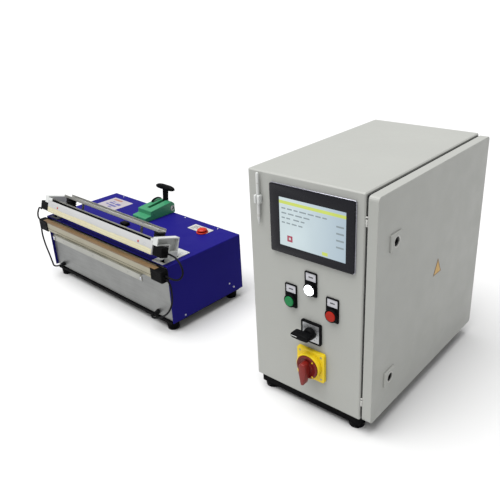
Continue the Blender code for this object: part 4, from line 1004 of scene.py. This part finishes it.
def build_main_knob():
    """The red disc and lever of the main switch."""
    x, z = MAIN_SWITCH
    disc = lathe((x, -22.9, z), "Y", [
        (4.4, 24), (4.4, 8.4), (25.8, 8.4), (26.2, 7.8), (26.2, 1.4), (25.4, 0.3), (22.5, 0), (20.6, 1.6),
        (13, 2.0), (11.8, 0.2),
    ], 80)
    lever = prism([
        (x - 3.5, z - 36), (x + 2.5, z - 36), (x + 6.5, z - 20), (x + 9, z - 6), (x + 8, z + 12),
        (x + 5, z + 17), (x - 5, z + 17), (x - 8, z + 12), (x - 9.6, z - 6), (x - 7, z - 20),
    ], "XZ", -40, 18.6, 2.4, 3)
    piece("main_knob_disc", "K", disc, DISC_RED, body="main_switch", sharp=45)
    piece("main_knob", "K", lever, DARK_RED, "main_switch_knob", "main_switch", 45)
    marks = spun(
        lambda: block((-1.4, -23.3, 21.3), (1.4, -22.7, 25.2), 0.1, 1), x, z,
        [math.radians(angle) for angle in (40, 140)],
    )
    piece("main_knob_marks", "K", marks, YELLOW, body="main_switch")


def build_stylus():
    """The pen and its clip beside the touch panel."""
    x, y = STYLUS
    piece("stylus_body", "K", lathe((x, y, 385), "Z", [
        (1.6, 112), (2.4, 111.4), (3.1, 109), (3.2, 80), (3.2, 16), (3.0, 13), (1.4, 3), (0.7, 0.6), (0.3, 0),
    ], 32), WHITE, "stylus", "stylus", 50)
    piece("stylus_bands", "K", merged(
        ring((x, y, 474), "Z", 3.15, 3.5, 2.0, 0.1, 32), ring((x, y, 403), "Z", 3.15, 3.45, 6.0, 0.1, 32),
    ), PAD_GREY, body="stylus")
    piece("stylus_clip", "K", block((x - 7, -12, 432), (x + 7, -0.3, 450), 1.6, 3), WHITE,
          "stylus_holder", cutters=[lathe((x, y, 425), "Z", [(3.6, 40), (3.6, 0)], 32),
                                    block((x - 1.4, -14, 425), (x + 1.4, -6, 455), 0, 1)])


def build_door_details():
    """Lock inserts with their rings, and the plain warning triangle."""
    for name, z in LOCK_HEIGHTS.items():
        insert = lathe((288, LOCK_DEPTH, z), "X", [(8.4, 16.6), (9.2, 16.0), (9.4, 15), (9.4, 0)], 40)
        bar = block((301, 62.2, z - 1.4), (306, 71.8, z + 1.4), 0.4, 1)
        hole = lathe((301.5, LOCK_DEPTH, z), "X", [(3.4, 5), (3.4, 0)], 24)
        piece("lock_face_" + name, "K", insert, SATIN_BLACK, "lock_insert_" + name,
              "lock_" + name, cutters=[bar, hole])
        rim = ring((306.0, LOCK_DEPTH, z), "X", 10.0, 12.4, 0.5, 0.2)
        piece("lock_ring_" + name, "K", rim, PAD_GREY, body="door")
    outer = prism([(268, 276), (248.5, 238.5), (287.5, 238.5)], "YZ", 302.1, 0.2)
    piece("door_triangle", "K", outer, AMBER, body="door")
    inner = prism([(268, 270), (253, 241), (283, 241)], "YZ", 302.32, 0.12)
    piece("door_triangle_inner", "K", inner, AMBER_INNER, body="door")


def build_gap_bits():
    """Studs and spacers that show in the gap between the body and the door."""
    for name, z in (("upper", 443), ("lower", 44)):
        stud = merged(
            block((276.3, 1.2, z - 7), (280.4, 5.4, z + 7), 0.8, 2),
            lathe((276.2, 3.4, z + 11), "X", [(1.8, 4.2), (1.8, 0)], 20),
        )
        piece("gap_stud_" + name, "K", stud, PAD_GREY)


build_camera()
build_leads()
build_stage()
dress_nodes()
build_cover_details()
build_caps()
build_jaws()
build_rail()
build_lever()
build_glands()
build_hmi()
build_button("white", LAMP)
build_button("green", GREEN_LENS)
build_button("red", RED_LENS)
build_contact_blocks()
build_selector()
build_main_switch()
build_main_knob()
build_stylus()
build_door_details()
build_gap_bits()
